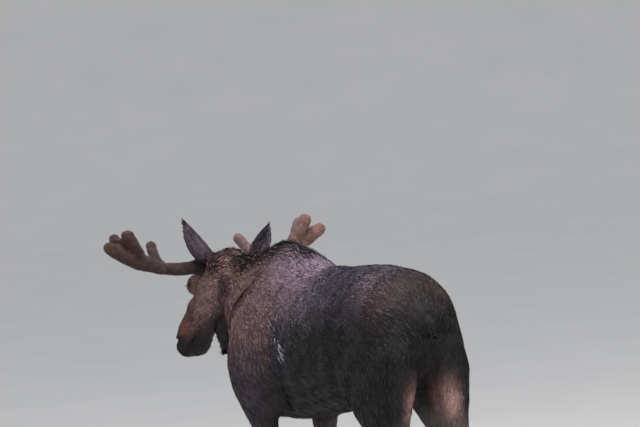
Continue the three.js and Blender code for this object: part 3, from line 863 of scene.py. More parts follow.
# %% [markdown]
# A summer coat is grizzled: pale hairs stand among the dark ones, thickest on the shoulder, the neck and the
# face. On the hump and back the pale hairs are bluish-lilac, a painted highlight from the sky. A wisp of long
# white hairs hangs behind each elbow. One function says what share of the hairs is pale, and what colour they
# are.


# %% Pale hairs
def elbow_wisp(points):
    """1 along the line of long white hairs behind each elbow, which is broadest at its lower end."""
    x, y, z = points.T
    off = y - np.interp(z, [1.30, 1.37, 1.43, 1.50], [0.155, 0.175, 0.10, 0.02])
    line = bump(off, 0.012 + 0.026 * (1 - rise(z, 1.31, 1.42))) * rise(z, 1.29, 1.33)
    return line * (1 - rise(z, 1.44, 1.54)) * rise(np.abs(x - middle_x), 0.2, 0.25)


def grizzle(points, part):
    """The share of pale hairs among the dark ones, and the colour of the pale ones."""
    _, y, z = points.T
    below, wisp = under_ridge(points), elbow_wisp(points)
    croup = bump(y - 0.86, 0.20) * bump(below - 0.05, 0.12)
    nape_side = part["neck"] * rise(y, crown[1] + 0.06, crown[1] + 0.16) * bump(below - 0.13, 0.07)
    colour = layered(
        "4b4143",
        ("9a766e", (1 - rise(y, -0.05, 0.30)) * rise(z, 1.05, 1.35)),  # shoulder
        # The hump's pale hairs are tinted bluish-lilac as a painted highlight from the sky.
        ("ab9cb2", bump(y - 0.15, 0.40) * bump(below, 0.24)),  # hump
        ("97808a", croup),
        ("a17c72", 0.9 * part["neck"]),
        ("a8876b", 0.45 * nape_side),
        ("dcd9e2", wisp),
        ("c09c92", part["head"]),
        ("8a7782", part["ear"]),
    )

    share = 0.03 + 0.28 * rise(z, 1.20, 1.60) * (1 - rise(y, 0.10, 0.75))
    # Extra pale hairs on the side of the hump: partly grizzle, partly painted highlights from the sky.
    share = share + 0.12 * bump(y - 0.02, 0.26) * bump(below - 0.13, 0.10)
    share = share * (1 - 0.4 * bump(y - 0.45, 0.25) * bump(below - 0.02, 0.10))
    share = share * (1 - 0.5 * bump(y - 0.12, 0.12) * bump(z - 1.40, 0.16))
    share = share + 0.14 * croup
    share = share + part["neck"] * (0.28 - share)
    mane = np.maximum(crest(points, 0.08), part["neck"] * (1 - rise(below, 0.03, 0.09)))
    share = share * (1 - 0.9 * mane)
    share = share + (0.06 + 0.32 * (1 - rise(z, 1.36, 1.42)) - share) * wisp

    _, head_y, head_z = head_places(points).T
    forward = -head_y
    face = 0.34 * (1 - rise(forward + 0.55 * (-0.16 - head_z), 0.50, 0.60))
    face = face * rise(head_z - 0.03 * rise(forward, 0.26, 0.40), -0.26, -0.17)
    face = face * (1 - 0.6 * rise(forward, 0.36, 0.48))
    share = share + part["head"] * (face - share)
    share = share * (1 - 0.9 * ear_root(points))
    share = share + part["ear"] * (0.16 - share)
    share = share * (1 - part["bell"])
    share = share + part["leg"] * (0.10 - share)
    clumps = 1 + 0.6 * ripple(points, 0.022, 24) + (0.4 + 0.4 * part["head"]) * ripple(points, 0.06, 25)
    return np.clip(share * clumps, 0, 1), colour


# %% [markdown]
# ## Which way the hair lies
#
# Hair runs back from the nose over the crown, back and down along the body, and down the legs. Each region
# has a guide direction. They are mixed by the same soft regions as the colours, laid flat onto the skin, and
# stirred a little with ripples, because a real coat is never combed perfectly straight.


# %% Which way the hair lies
def lie(points, normals, part):
    """Unit directions along the skin: guides mixed by region, less their part along the normal."""
    x, y, z = points.T
    below = under_ridge(points)
    droop = 6 + 26 * rise(below, 0.04, 0.40)  # degrees below level, growing down the sides
    droop = droop + 40 * rise(1.56 - z, 0, 0.35) * (1 - rise(y, -0.15, 0.25))  # shoulder
    droop = droop + 48 * rise(y, 0.85, 1.20) * rise(below, 0.03, 0.20)  # rump
    droop = droop + 40 * rise(y, 0.55, 0.95) * rise(1.50 - z, 0, 0.35)  # thigh
    droop = droop + 26 * part["neck"] * rise(below, 0.02, 0.16)
    droop = np.radians(np.clip(droop, 0, 86))
    guide = np.column_stack([0 * x, np.cos(droop), -np.sin(droop)])

    h = head_places(points)
    cheek = rise(np.abs(h[:, 0]), 0.03, 0.08) * rise(-h[:, 2], 0.05, 0.16)
    around_mouth = rise(-h[:, 1], 0.52, 0.64)
    on_face = np.column_stack([0 * x, 1 - 0.5 * around_mouth, -0.45 * cheek - 0.7 * around_mouth])
    guide = laid(guide, on_face @ head_axes.T, part["head"])
    for name in sides:
        e, own = on_ear_of(name, points)
        outward = 2.5 * (e - ear_pivot)[:, :2] * (1 - rise(e[:, 2], 0.24, 0.28))[:, None]
        up_leaf = np.column_stack([outward, 1 + 0 * x]) @ ear_frames[name][1].T
        guide = laid(guide, up_leaf, part["ear"] * own)
    guide = laid(guide, np.array([0, 0.12, -1.0]), np.maximum(part["bell"], part["leg"]))
    guide = laid(guide, np.array([0, 0.35, -1.0]), part["tail"])

    stir = 0.20 * (1 - part["head"]) * (1 - 0.5 * part["leg"])
    swirl = np.column_stack([ripple(points, 0.16, seed) for seed in (31, 32, 33)])
    guide = unit(guide) + stir[:, None] * swirl
    return unit(guide - (guide * normals).sum(1)[:, None] * normals)


# %% How long the hair is
def hair_length(points, part):
    """Metres from root to tip: short on the face and feet, long on the hump, the mane and the bell."""
    _, y, z = head_places(points).T
    height = points[:, 2]
    length = 0.040 + 0.006 * part["neck"] + 0.045 * crest(points, 0.08)
    length = length + 0.015 * (1 - rise(height, 1.0, 1.2)) * (1 - part["leg"])
    poll = rise(y, -0.14, -0.04) * rise(z, -0.10, -0.03)
    face = 0.019 + 0.010 * rise(y, -0.28, -0.02) + 0.006 * rise(-z, 0.20, 0.28) + 0.014 * poll
    face = face * (1 - 0.5 * rise(-y, 0.54, 0.66)) * (1 - 0.5 * bump(from_eye(points), 0.060))
    length = length + part["head"] * (face - length)
    length = length + 0.025 * elbow_wisp(points) * rise(1.40 - height, 0.0, 0.06)
    hoof_line = 0.016 * (1 - rise(height, 0.10, 0.16))
    length = length + part["leg"] * (0.010 + 0.024 * rise(height, 0.25, 1.0) + hoof_line - length)
    tip = np.maximum.reduce([rise(on_ear_of(name, points)[0][:, 2], 0.26, 0.30) for name in sides])
    length = length + part["ear"] * (0.015 + 0.006 * tip - length)
    length = length + part["bell"] * (0.040 - length)
    return length + part["tail"] * (0.036 - length)


# %% [markdown]
# ## Hair as blades
#
# Every tuft is a thin blade of three or five triangles: pairs of points that narrow to one tip. Its middle
# line leaves the skin at a small angle and bends back down, and each blade is rolled a little about its own
# length, so that neighbours catch the light differently, as real locks do. All blades of a piece are made in
# one go, as an array with one row for each blade.
#
# Roots are strewn over the skin's triangles, with more on the larger ones. The colours of a blade are baked
# when the model is exported, so each blade is a small patch, 3 thousandths of the map across, on a map that
# unrolls the skin like a label round a bottle: across is the angle round the body part, and up is the
# distance along it.


# %% Roots of the blades
def bending(mesh, lies):
    """How much the skin bends along the hair, in 1 / metre: each neighbour's height above the tangent plane
    over the square of its distance, averaged with the fourth power of its cosine to the hair's way."""
    points, normals = points_of(mesh), normals_of(mesh)
    to, starts, counts = links = neighbours(mesh)
    own = np.repeat(np.arange(len(points)), counts)
    way = points[to] - points[own]
    square = (way**2).sum(1)
    weight = ((way * lies[own]).sum(1) ** 2 / square) ** 2 + 1e-3
    height = (way * normals[own]).sum(1) / square
    bend = np.add.reduceat(weight * height, starts) / np.add.reduceat(weight, starts)
    return ironed(bend[:, None], links, np.full(len(points), 0.5), times=8)[:, 0]


def strewn(mesh, chosen, count, crowding, seed, bend):
    """count points on the chosen triangles, each as likely as its area times crowding, and the normals and
    bending there."""
    random = np.random.default_rng(seed)
    points, normals, faces = points_of(mesh), normals_of(mesh), triangles_of(mesh)[chosen]
    a, b, c = (points[faces[:, k]] for k in range(3))
    weight = np.linalg.norm(np.cross(b - a, c - a), axis=1) * crowding[chosen]
    picked = random.choice(len(faces), count, p=weight / weight.sum())
    u, v = random.random((2, count))
    u, v = np.where(u + v > 1, 1 - u, u)[:, None], np.where(u + v > 1, 1 - v, v)[:, None]
    mix = [1 - u - v, u, v]
    roots = sum(m * points[faces[picked, k]] for k, m in enumerate(mix))
    there = sum(m[:, 0] * bend[faces[picked, k]] for k, m in enumerate(mix))
    return roots, unit(sum(m * normals[faces[picked, k]] for k, m in enumerate(mix))), there


def unrolled(roots, lengthwise, slices=24, margin=0.01):
    """Places from 0 to 1 on a map: the angle about the part's own middle line, and the distance along it."""
    along = roots @ lengthwise
    share = (along - along.min()) / np.ptp(along)
    slot = np.clip((share * slices).astype(int), 0, slices - 1)
    totals = np.bincount(slot, minlength=slices).clip(1)
    middles = np.column_stack([np.bincount(slot, roots[:, k], slices) / totals for k in range(3)])
    where = share * slices - 0.5
    spoke = roots - np.column_stack([np.interp(where, np.arange(slices), column) for column in middles.T])
    first = unit(np.cross(lengthwise, [0.3, 0.2, 1.0]))
    second = np.cross(lengthwise, first)
    angle = np.arctan2(spoke @ second, spoke @ first)
    around = (angle - angle.min()) / np.ptp(angle)
    return margin + (1 - 2 * margin) * np.column_stack([around, share])


# %% Blades
patch_size = 0.003  # the share of the baked map's width that one blade takes
steepest = 60  # degrees that a blade may stand up from the skin


def blades(
    name, roots, normals, lies, length, width, lift, colours, pairs, places, seed,
    sunk=0.10, bend=0, pale=None,
):
    """A mesh of blades. With t from 0 at the root to 1 at the tip, the middle line is at
    length * t along the hair and length * (tan(lift) * (t - 0.75 * t^2) - sunk * (1 - t)) above the skin,
    to which bend * (length * t)^2 is added, so that the blade follows the skin. The blade is
    width * (1 - t)^0.6 across. pale is the share of pale hairs and their colour; they are longer and
    thinner than the rest, and lie on top."""
    random = np.random.default_rng(seed)
    count = len(roots)
    colours = colours * np.exp(random.normal(0, 0.28, count))[:, None]
    if pale:
        share, pale_colour = pale
        light = np.where(random.random(count) < share, random.uniform(0.25, 1.0, count), 0)
        colours = laid(colours, pale_colour, light)
        length, width, lift = length * (1 + 0.3 * light), width * (1 - 0.15 * light), lift * (1 + 0.2 * light)
    length = length * random.uniform(0.70, 1.30, count)
    width = width * random.uniform(0.70, 1.30, count)
    lift = np.tan(np.radians(np.minimum(lift * random.uniform(0.5, 1.6, count), steepest)))
    yaw = np.radians(random.normal(0, 9, count))[:, None]
    sway = random.normal(0, 0.10, count)
    roll = np.radians(random.normal(0, 24, count))[:, None]
    sideways = np.cross(normals, lies)
    ahead = lies * np.cos(yaw) + sideways * np.sin(yaw)
    sideways = np.cross(normals, ahead)
    flat = sideways * np.cos(roll) + normals * np.sin(roll)

    def each(directions, amounts):
        """One direction for each blade times one amount for each of its steps."""
        return directions[:, None] * amounts[..., None]

    t = np.append(np.arange(pairs) / pairs, 1.0)
    spread = np.where(t < 1, (1 - t) ** 0.6, 0) * np.where(t == 0, 0.8, 1)
    long = length[:, None]
    following = (length * np.clip(bend * length, -0.12, 0.30))[:, None] * t**2
    middle = (
        roots[:, None]
        + each(ahead, long * t)
        + each(sideways, long * sway[:, None] * t**2)
        + each(normals, long * (lift[:, None] * (t - 0.75 * t**2) - sunk * (1 - t)))
        + each(normals, following)
    )
    half = each(flat, 0.5 * width[:, None] * spread)
    both = np.stack([(middle - half)[:, :-1], (middle + half)[:, :-1]], 2).reshape(count, -1, 3)
    points = np.concatenate([both, middle[:, -1:]], 1)

    corners = 2 * pairs + 1
    steps = np.arange(pairs - 1)[:, None] * 2
    tip = [[corners - 3, corners - 2, corners - 1]]
    strip = np.concatenate([steps + [0, 1, 3], steps + [0, 3, 2], tip])
    faces = (np.arange(count)[:, None, None] * corners + strip).reshape(-1, 3)
    mesh = mesh_of(name, points.reshape(-1, 3), faces)

    # Painted shade: each blade's colour is darkened at the root, deep in the coat, and lightened towards the
    # tip.
    shade = np.append(np.repeat(0.62 + 0.55 * t[:-1], 2), 1.25)  # dark roots and light tips
    add_attribute(mesh, "coat", np.clip(colours[:, None] * shade[:, None], 0, 1).reshape(-1, 3))
    edges, ups = np.append(np.tile([0.0, 1.0], pairs), 0.5), np.append(np.repeat(t[:-1], 2), 1.0)
    strand = np.column_stack([edges, ups])[strip.ravel()]
    maps = {
        "OFBake": places[:, None] + patch_size * (strand - 0.5),
        "strand": np.tile(strand, (count, 1)),
    }
    for layer, uv in maps.items():
        mesh.uv_layers.new(name=layer).data.foreach_set("uv", uv.astype(np.float32).ravel())
    return mesh


# %% [markdown]
# ## Shader maths
#
# Blender draws materials from nodes. Wrapping a node's output in a small class lets Python's own + and *
# make the Math nodes, so a formula for a colour reads like a formula.


# %% A small language for materials
class Value:
    """A number that varies over a surface. Sums and products of such values add Math nodes."""

    def __init__(self, paint, socket):
        self.paint, self.socket = paint, socket

    def maths(self, operation, *others):
        """A Math node on this value and others, in this order."""
        return self.paint.node("ShaderNodeMath", {"operation": operation}, dict(enumerate([self, *others])))

    def __add__(self, other):
        return self.maths("ADD", other)

    def __sub__(self, other):
        return self.maths("SUBTRACT", other)

    def __rsub__(self, other):
        return self.paint.node("ShaderNodeMath", {"operation": "SUBTRACT"}, {0: other, 1: self})

    def __mul__(self, other):
        return self.maths("MULTIPLY", other)

    __radd__, __rmul__ = __add__, __mul__

    def held(self, low=0.0, high=1.0):
        """The value, kept between low and high."""
        return self.maths("MAXIMUM", low).maths("MINIMUM", high)


class Paint:
    """A material, with one method that adds any node."""

    def __init__(self, name, **sockets):
        self.material = bpy.data.materials.new(name)
        self.material.use_nodes = True
        self.nodes = self.material.node_tree.nodes
        self.links = self.material.node_tree.links
        self.surface = self.nodes["Principled BSDF"]
        self.set(self.surface, sockets)

    def set(self, node, values):
        """Fills a node's sockets: with a link where a value varies, and with a number or colour elsewhere."""
        for key, value in values.items():
            socket = node.inputs[key.replace("_", " ") if isinstance(key, str) else key]
            if isinstance(value, Value):
                self.links.new(value.socket, socket)
            elif isinstance(value, (list, tuple, np.ndarray)) and socket.type == "RGBA":
                socket.default_value = (*value[:3], 1)
            else:
                socket.default_value = value

    def node(self, kind, settings=None, values=None, output=0):
        """Adds any node, with its settings set before its sockets are filled."""
        made = self.nodes.new(kind)
        for key, value in (settings or {}).items():
            setattr(made, key, value)
        self.set(made, values or {})
        return Value(self, made.outputs[output])

    def finish(self, **sockets):
        """Fills the last sockets of the surface and returns the material."""
        self.set(self.surface, sockets)
        return self.material

    # Nodes that are used again and again.
    def place(self):
        return self.node("ShaderNodeTexCoord", output="Object")

    def attribute(self, name, output="Color"):
        return self.node("ShaderNodeAttribute", {"attribute_name": name}, output=output)

    def noise(self, at, scale, detail=3.0, roughness=0.55):
        sockets = {"Vector": at, "Scale": scale, "Detail": detail, "Roughness": roughness}
        return self.node("ShaderNodeTexNoise", None, sockets)

    def stretched(self, at, factors):
        return self.node("ShaderNodeVectorMath", {"operation": "MULTIPLY"}, {0: at, 1: factors})

    def dimmed(self, colour, level):
        return self.node("ShaderNodeVectorMath", {"operation": "SCALE"}, {0: colour, "Scale": level})

    def mixed(self, share, first, second):
        sockets = {0: share, 6: first, 7: second}  # the Mix node's factor and its two colours
        return self.node("ShaderNodeMix", {"data_type": "RGBA"}, sockets, output=2)

    def bumps(self, height, depth, strength=1.0):
        return self.node("ShaderNodeBump", None, {"Height": height, "Distance": depth, "Strength": strength})


# %% Hair and skin materials
def hair_material(name, roughness, sheen, gloss):
    """Blades of hair: strands run along each blade and vary its colour, roughness and bump; the darker root
    and lighter tip come with the blade's coat colour.
    """
    paint = Paint(name, Sheen_Weight=sheen, Sheen_Roughness=0.45, Specular_IOR_Level=gloss)
    strand = paint.node("ShaderNodeUVMap", {"uv_map": "strand"})
    lines = paint.noise(paint.stretched(strand, (6.0, 0.7, 1.0)), 2.0, 2.0)
    patches = paint.noise(paint.place(), 60.0, 2.0)
    level = 0.55 + 0.55 * lines + 0.35 * patches
    return paint.finish(
        Base_Color=paint.dimmed(paint.attribute("coat"), level),
        Roughness=(roughness + 0.25 * (lines - 0.5)).held(0.25, 1.0),
        Normal=paint.bumps(lines, 0.0008, 0.6),
    )


def skin_material():
    """The hide under the coat: the same marks, with short flat hair as bump and a bare, pebbled nose."""
    paint = Paint("hide", Specular_IOR_Level=0.15)
    place = paint.place()
    nap = paint.noise(paint.stretched(place, (1.0, 0.45, 0.35)), 260.0, 3.0)
    patches = paint.noise(place, 14.0, 3.0)
    pebbles = paint.node("ShaderNodeTexVoronoi", None, {"Vector": place, "Scale": 330.0})
    bare = paint.attribute("bare", "Fac")
    height = (1 - bare) * nap + bare * pebbles
    return paint.finish(
        Base_Color=paint.dimmed(paint.attribute("coat"), 0.50 + 0.40 * nap + 0.35 * patches),
        Roughness=(0.80 - 0.38 * bare + 0.15 * (nap - 0.5)).held(0.2, 1.0),
        Normal=paint.bumps(height, 0.0016, 0.8),
    )


skin = points_of(skin_mesh)
part = regions(skin)
share, pale_colour = grizzle(skin, part)
add_attribute(skin_mesh, "coat", laid(coat_colour(skin, part), pale_colour, 0.5 * share))
h = head_places(skin)
h[:, 0] = np.abs(h[:, 0])
nose_pad = bump(apart(h, [0.03, -0.70, -0.16], [0.05, 0.05, 0.07]), 1.0)
lid_rim = 1 - rise(from_eye(skin), 0.025, 0.030)
bare = np.clip(nose_pad + lid_rim, 0, 1) * part["head"]
add_attribute(skin_mesh, "bare", bare)
skin_mesh.materials.append(skin_material())
print("bare skin at", (bare > 0.5).sum(), "points")

# %% [markdown]
# ## The coat, piece by piece
#
# The coat is laid in about a dozen pieces, so that none has too many faces. Every triangle of the skin
# belongs to one piece, chosen by the middle of the triangle.

# %% Divide the skin
face_centres = skin[triangles_of(skin_mesh)].mean(1)
face_part = regions(face_centres)
fx, fy, fz = face_centres.T
on_left = {"left": fx > middle_x, "right": fx <= middle_x}
on_ear = face_part["ear"] > 0.5
on_head = (face_part["head"] > 0.5) & ~on_ear
on_bell = (face_part["bell"] > 0.5) & ~on_head & ~on_ear
on_leg = (fz < 1.0) & (face_part["leg"] > 0.5) & ~on_head & ~on_bell
on_tail = face_part["tail"] > 0.5
on_neck = (face_part["neck"] > 0.5) & ~on_head & ~on_ear & ~on_bell & ~on_leg
on_trunk = ~(on_ear | on_head | on_bell | on_leg | on_neck | on_tail)
crowding = np.where(from_eye(face_centres) < 0.0255, 0.0, 1 + 2 * crest(face_centres))
crowding = crowding / hair_length(face_centres, face_part)

body_hair = hair_material("body_hair", 0.50, 0.0, 0.16)
face_hair = hair_material("face_hair", 0.60, 0.0, 0.12)
back_axis, down_axis = np.array([0.0, 1.0, 0.0]), np.array([0.0, 0.0, 1.0])
trunk_bands = [
    # name, from and to along the body, tufts on each side, lift in degrees
    ("shoulder", -9, 0.16, 37000, 11),
    ("ribs", 0.16, 0.66, 32000, 10),
    ("rump", 0.66, 9, 35000, 10),
]
coat_pieces = [
    (
        f"coat_{band}_{name}", on_trunk & on_left[name] & (fy >= start) & (fy < end),
        tufts, 2, lift, back_axis, body_hair, "body_hair",
    )
    for band, start, end, tufts, lift in trunk_bands
    for name in sides
]
coat_pieces += [
    # name, triangles, tufts, pairs of points, lift in degrees, map axis, material, slot
    ("coat_neck", on_neck, 50000, 2, 12, back_axis, body_hair, "neck_hair"),
    ("coat_head", on_head, 60000, 2, 11, head_axes[:, 1], face_hair, "face_hair"),
    ("coat_ears", on_ear, 22000, 2, 12, down_axis, face_hair, "ear_hair"),
    ("coat_forelegs", on_leg & (fy < 0.3), 30000, 2, 10, down_axis, face_hair, "leg_hair"),
    ("coat_hind_legs", on_leg & (fy >= 0.3), 32000, 2, 10, down_axis, face_hair, "leg_hair"),
    ("coat_bell", on_bell, 6000, 3, 12, down_axis, body_hair, "body_hair"),
    ("coat_tail", on_tail, 2500, 3, 14, down_axis, body_hair, "body_hair"),
]
print(len(coat_pieces), "pieces of coat")

# %% [markdown]
# Each piece is strewn, shaped and coloured in one go. A blade that would pass under a fold of the skin is
# lifted out of it by Blender's Shrinkwrap, which here moves only those points that lie inside its target.


# %% Lay the coat
clearance = 0.0012  # metres from the skin to a blade that was lifted out of it


def lift_out(piece, corners):
    """Where a hollow of the skin rises over a blade, Shrinkwrap lifts the blade out, all but its root."""
    wrap = piece.modifiers.new("lift out", "SHRINKWRAP")
    wrap.target, wrap.wrap_mode, wrap.offset = skin_object, "OUTSIDE", clearance
    bpy.context.view_layer.update()
    lifted = piece.evaluated_get(bpy.context.evaluated_depsgraph_get())
    points = points_of(lifted.to_mesh()).reshape(-1, corners, 3)
    lifted.to_mesh_clear()
    piece.modifiers.clear()
    points[:, :2] = points_of(piece.data).reshape(-1, corners, 3)[:, :2]
    set_points(piece.data, points.reshape(-1, 3))


bend = bending(skin_mesh, lie(skin, normals_of(skin_mesh), part))
for seed, (name, chosen, tufts, pairs, lift, axis, material, slot) in enumerate(coat_pieces, 100):
    roots, normals, bent = strewn(skin_mesh, chosen, tufts, crowding, seed, bend)
    own = regions(roots)
    ridge, near_eye = crest(roots), bump(from_eye(roots), 0.060)
    length = hair_length(roots, own)
    width = np.clip(0.13 * length + 0.0010 * own["head"], 0.0026, 0.0050 - 0.0010 * ridge)
    standing = 17 * ridge + 16 * own["head"] * nape(roots) + 12 * near_eye + 10 * elbow_wisp(roots)
    mesh = blades(
        name, roots, normals, lie(roots, normals, own), length, width,
        lift + standing, coat_colour(roots, own), pairs, unrolled(roots, axis), seed,
        bend=bent, pale=grizzle(roots, own),
    )
    piece = object_of(name, mesh, material)
    lift_out(piece, 2 * pairs + 1)
    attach(piece, "root")
    print(name, len(mesh.polygons), "triangles")

# %% [markdown]
# ## Antlers in velvet
#
# Growing antlers are covered in velvet, a thin skin with short dense fuzz. They are rounder and blunter than
# the bare antlers of autumn. Each antler's solids are joined and ironed as the flesh was, the hollows between
# its tines are webbed, lumps and long shallow furrows are added, and short fuzz stands up all over.


# %% Velvet
burr_in_crown = np.array([0.108, -0.092, -0.080])  # where the left antler leaves the skull
# Painted light: the right antler is lit from behind and its velvet seems to glow, so its colour is made
# lighter by this factor.
right_antler_painted_light = 3.1  # the right antler's velvet is paler by this factor


def velvet_colour(points, burr):
    """Near black at the burr, brown along the beam, redder at the tips, mottled and streaked by ripples. The
    right antler is painted lighter, as if lit from behind.
    """
    away = apart(points, burr)
    patchy = 0.5 * ripple(points, 0.13, 41) + 0.5 * ripple(points, 0.035, 42)
    streaks = ripple(points * [0.3, 1.0, 0.45], 0.012, 46)
    colour = layered(
        "2a2022",
        ("483738", rise(away, 0.02, 0.14)),
        ("463431", rise(away + 0.05 * patchy, 0.25, 0.42)),
        ("4f3935", rise(away + 0.05 * patchy, 0.46, 0.62)),
    )
    # Painted light: the right antler's velvet is made lighter, as if lit from behind.
    colour = colour * (right_antler_painted_light if burr[0] < middle_x else 1.0)
    return np.clip(colour * (1 + 0.25 * patchy + 0.35 * streaks)[:, None], 0.002, 1)


def velvet_material():
    """Soft velvet: a broad sheen, fine fuzz as bump, and veins that darken it in lines."""
    paint = Paint("velvet", Sheen_Weight=0.20, Sheen_Roughness=0.4, Specular_IOR_Level=0.1)
    place = paint.place()
    fuzz = paint.noise(place, 420.0, 2.0)
    veins = paint.noise(place, 38.0, 4.0, 0.6)
    return paint.finish(
        Base_Color=paint.dimmed(paint.attribute("coat"), 0.45 + 0.45 * fuzz + 0.65 * veins),
        Roughness=(0.85 + 0.2 * (veins - 0.5)).held(0.5, 1.0),
        Normal=paint.bumps(fuzz + 0.6 * veins, 0.0015, 0.8),
    )


# %% The antlers
def web(first, second, share):
    """The hull of the lower share of two tines, a little thinner than they are: the flesh between them."""
    thinner = [tine.mean(0) + (tine - tine.mean(0)) * [0.8, 0.8, 1] for tine in (first, second)]
    points = np.concatenate(thinner)
    low, high = points[:, 2].min(), points[:, 2].max()
    mesh = mesh_of("web", points[points[:, 2] < low + share * (high - low)], np.zeros((0, 3), int))
    with edited(mesh) as hull:
        bmesh.ops.convex_hull(hull, input=hull.verts)
        bmesh.ops.delete(hull, geom=[corner for corner in hull.verts if not corner.link_faces])
        bmesh.ops.recalc_face_normals(hull, faces=hull.faces)
    return points_of(mesh), triangles_of(mesh)


def cast_antler(name, nodes):
    """One antler's solids joined with webs between its tines. The middle tine leans inwards to its tip."""
    tines = {node: grown_copy(node, seam_growth) for node in nodes}
    front, middle, rear = (tines[f"antler_{name}_tine_{end}"][0] for end in ("front", "middle", "rear"))
    up = (middle[:, 2] - middle[:, 2].min()) / np.ptp(middle[:, 2])
    middle[:, 0] -= sides[name] * 0.036 * rise(up, 0.0, 0.9)
    webs = [web(middle, front, 0.72), web(middle, rear, 0.66)]
    mesh = remeshed(f"velvet_{name}", *joined([*tines.values(), *webs]), 0.0045)
    even = np.full(len(mesh.vertices), 0.6)
    set_points(mesh, ironed(points_of(mesh), neighbours(mesh), even, times=26))
    return mesh


def swell_velvet(mesh, burr):
    """Adds furrows along the tines, pearls and a collar round the burr, and a thicker, lower base."""
    antler = points_of(mesh)
    away = apart(antler, burr)
    furrows = ripple(antler * [0.35, 0.35, 1.0], 0.030, 43) * rise(away, 0.10, 0.30)
    pearls = ripple(antler, 0.016, 44) * bump(away - 0.010, 0.025)
    swollen = 0.0006 + 0.0018 * furrows + 0.0022 * pearls + 0.0014 * ripple(antler, 0.06, 45)
    swollen = swollen + 0.0045 * (1 - rise(away, 0.12, 0.28)) + 0.005 * bump(away - 0.034, 0.014)
    antler = antler + normals_of(mesh) * swollen[:, None]
    antler[:, 2] -= 0.022 * (1 - rise(away, 0.10, 0.36)) + 0.010 * bump(away - 0.45, 0.12)
    set_points(mesh, antler)
    mesh.shade_smooth()


def fuzz_on(name, mesh, burr, tufts=22000, length=0.0065, width=0.0022):
    """A mesh of short blades that stand up all over an antler."""
    side, every = sides[name], np.ones(len(triangles_of(mesh)), bool)
    level = np.zeros(len(mesh.vertices))
    roots, normals, _ = strewn(mesh, every, tufts, np.ones(len(every)), 150 + side, level)
    outward = np.cross(normals, np.cross([side * 0.8, -0.3, 0.5], normals))
    return blades(
        f"fuzz_{name}", roots, normals, unit(outward), np.full(tufts, length), np.full(tufts, width),
        45, velvet_colour(roots, burr) * 1.1, 2, unrolled(roots, np.array([side, 0, 0])), 160 + side,
        pale=(0.16 * rise(apart(roots, burr), 0.10, 0.30), tint("9c8078")),
    )


velvet = velvet_material()
fuzz_hair = hair_material("fuzz_hair", 0.80, 0.25, 0.10)
for name in sides:
    nodes = [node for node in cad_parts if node.startswith(f"antler_{name}")]
    burr = crown + crown_axes @ (burr_in_crown * mirrors[name])
    mesh = cast_antler(name, nodes)
    swell_velvet(mesh, burr)
    add_attribute(mesh, "coat", velvet_colour(points_of(mesh), burr))
    piece = object_of(f"antler_{name}_velvet", mesh, velvet)
    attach(piece, "root")
    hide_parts(*nodes)
    print(piece.name, len(triangles_of(mesh)), "triangles")
    tufts = object_of(f"fuzz_{name}", fuzz_on(name, mesh, burr), fuzz_hair)
    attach(tufts, "root")

# %% [markdown]
# ## Eyes and lashes
#
# A moose's eye is nearly black, with a long level pupil. The ball is a grid of rings about the axis it looks
# along, with the cornea standing a little proud, so that it catches a clear highlight. Lashes are blades too,
# rooted along the rim of the upper lid.


# %% The shape of an eye
def ring_faces(bands, spokes):
    """Faces with four corners that join bands + 1 rings of points, each ring closed on itself."""
    ring, spoke = np.meshgrid(np.arange(bands), np.arange(spokes), indexing="ij")
    near, far, after = ring * spokes, (ring + 1) * spokes, (spoke + 1) % spokes
    return np.stack([near + spoke, far + spoke, far + after, near + after], -1).reshape(-1, 4)


def eye_piece(name, bands=32, spokes=48):
    """A ball of radius r * (1 + 0.07 * exp(-(angle / 0.55)^2)), with angle measured from the gaze."""
    look, level, above = (head_axes @ (axis * mirrors[name]) for axis in (gaze, slit, lid_up))
    angle = np.linspace(0.0, np.pi, bands + 1)[:, None]
    turn = np.linspace(0, 2 * np.pi, spokes, endpoint=False)
    radius = eye_radius * (1 + 0.07 * bump(angle, 0.55))
    spoke = np.cos(turn)[:, None] * level + np.sin(turn)[:, None] * above
    grid = radius[..., None] * (np.cos(angle)[..., None] * look + np.sin(angle)[..., None] * spoke)
    middle = crown + head_axes @ (eye_in_head * mirrors[name])
    mesh = mesh_of(f"eyeball_{name}", middle + grid.reshape(-1, 3), ring_faces(bands, spokes))

    # The pupil is drawn from an oval distance across the eye, and its rim from a round one. Both are large
    # on the back half, so that neither shows there.
    flat = (np.sin(angle)[..., None] * np.stack([np.cos(turn), np.sin(turn)], -1)).reshape(-1, 2)
    at_back = 2 * (np.repeat(angle, spokes) > 1.6)
    add_attribute(mesh, "across", np.hypot(flat[:, 0] * 0.62, flat[:, 1]) + at_back)
    add_attribute(mesh, "rim", np.hypot(flat[:, 0], flat[:, 1]) + at_back)
    with edited(mesh) as work:
        bmesh.ops.remove_doubles(work, verts=work.verts, dist=1e-6)
        bmesh.ops.recalc_face_normals(work, faces=work.faces)
    mesh.shade_smooth()
    return mesh


def eye_material():
    """A wet, nearly black eye: a dark pupil, a brown iris with fine fibres, and a greyer edge."""
    paint = Paint("eye", Roughness=0.10, Coat_Weight=0.12, Coat_Roughness=0.03, Specular_IOR_Level=0.12)
    fibres = paint.noise(paint.place(), 900.0, 2.0)
    beyond_pupil = (8.0 * (paint.attribute("across", "Fac") - 0.22)).held()
    beyond_iris = (9.0 * (paint.attribute("rim", "Fac") - 0.62)).held()
    iris = paint.mixed(fibres, tint("1a0f0b"), tint("33200f"))
    iris = paint.mixed(beyond_iris, iris, tint("1e1816"))
    return paint.finish(Base_Color=paint.mixed(beyond_pupil, tint("050505"), iris))


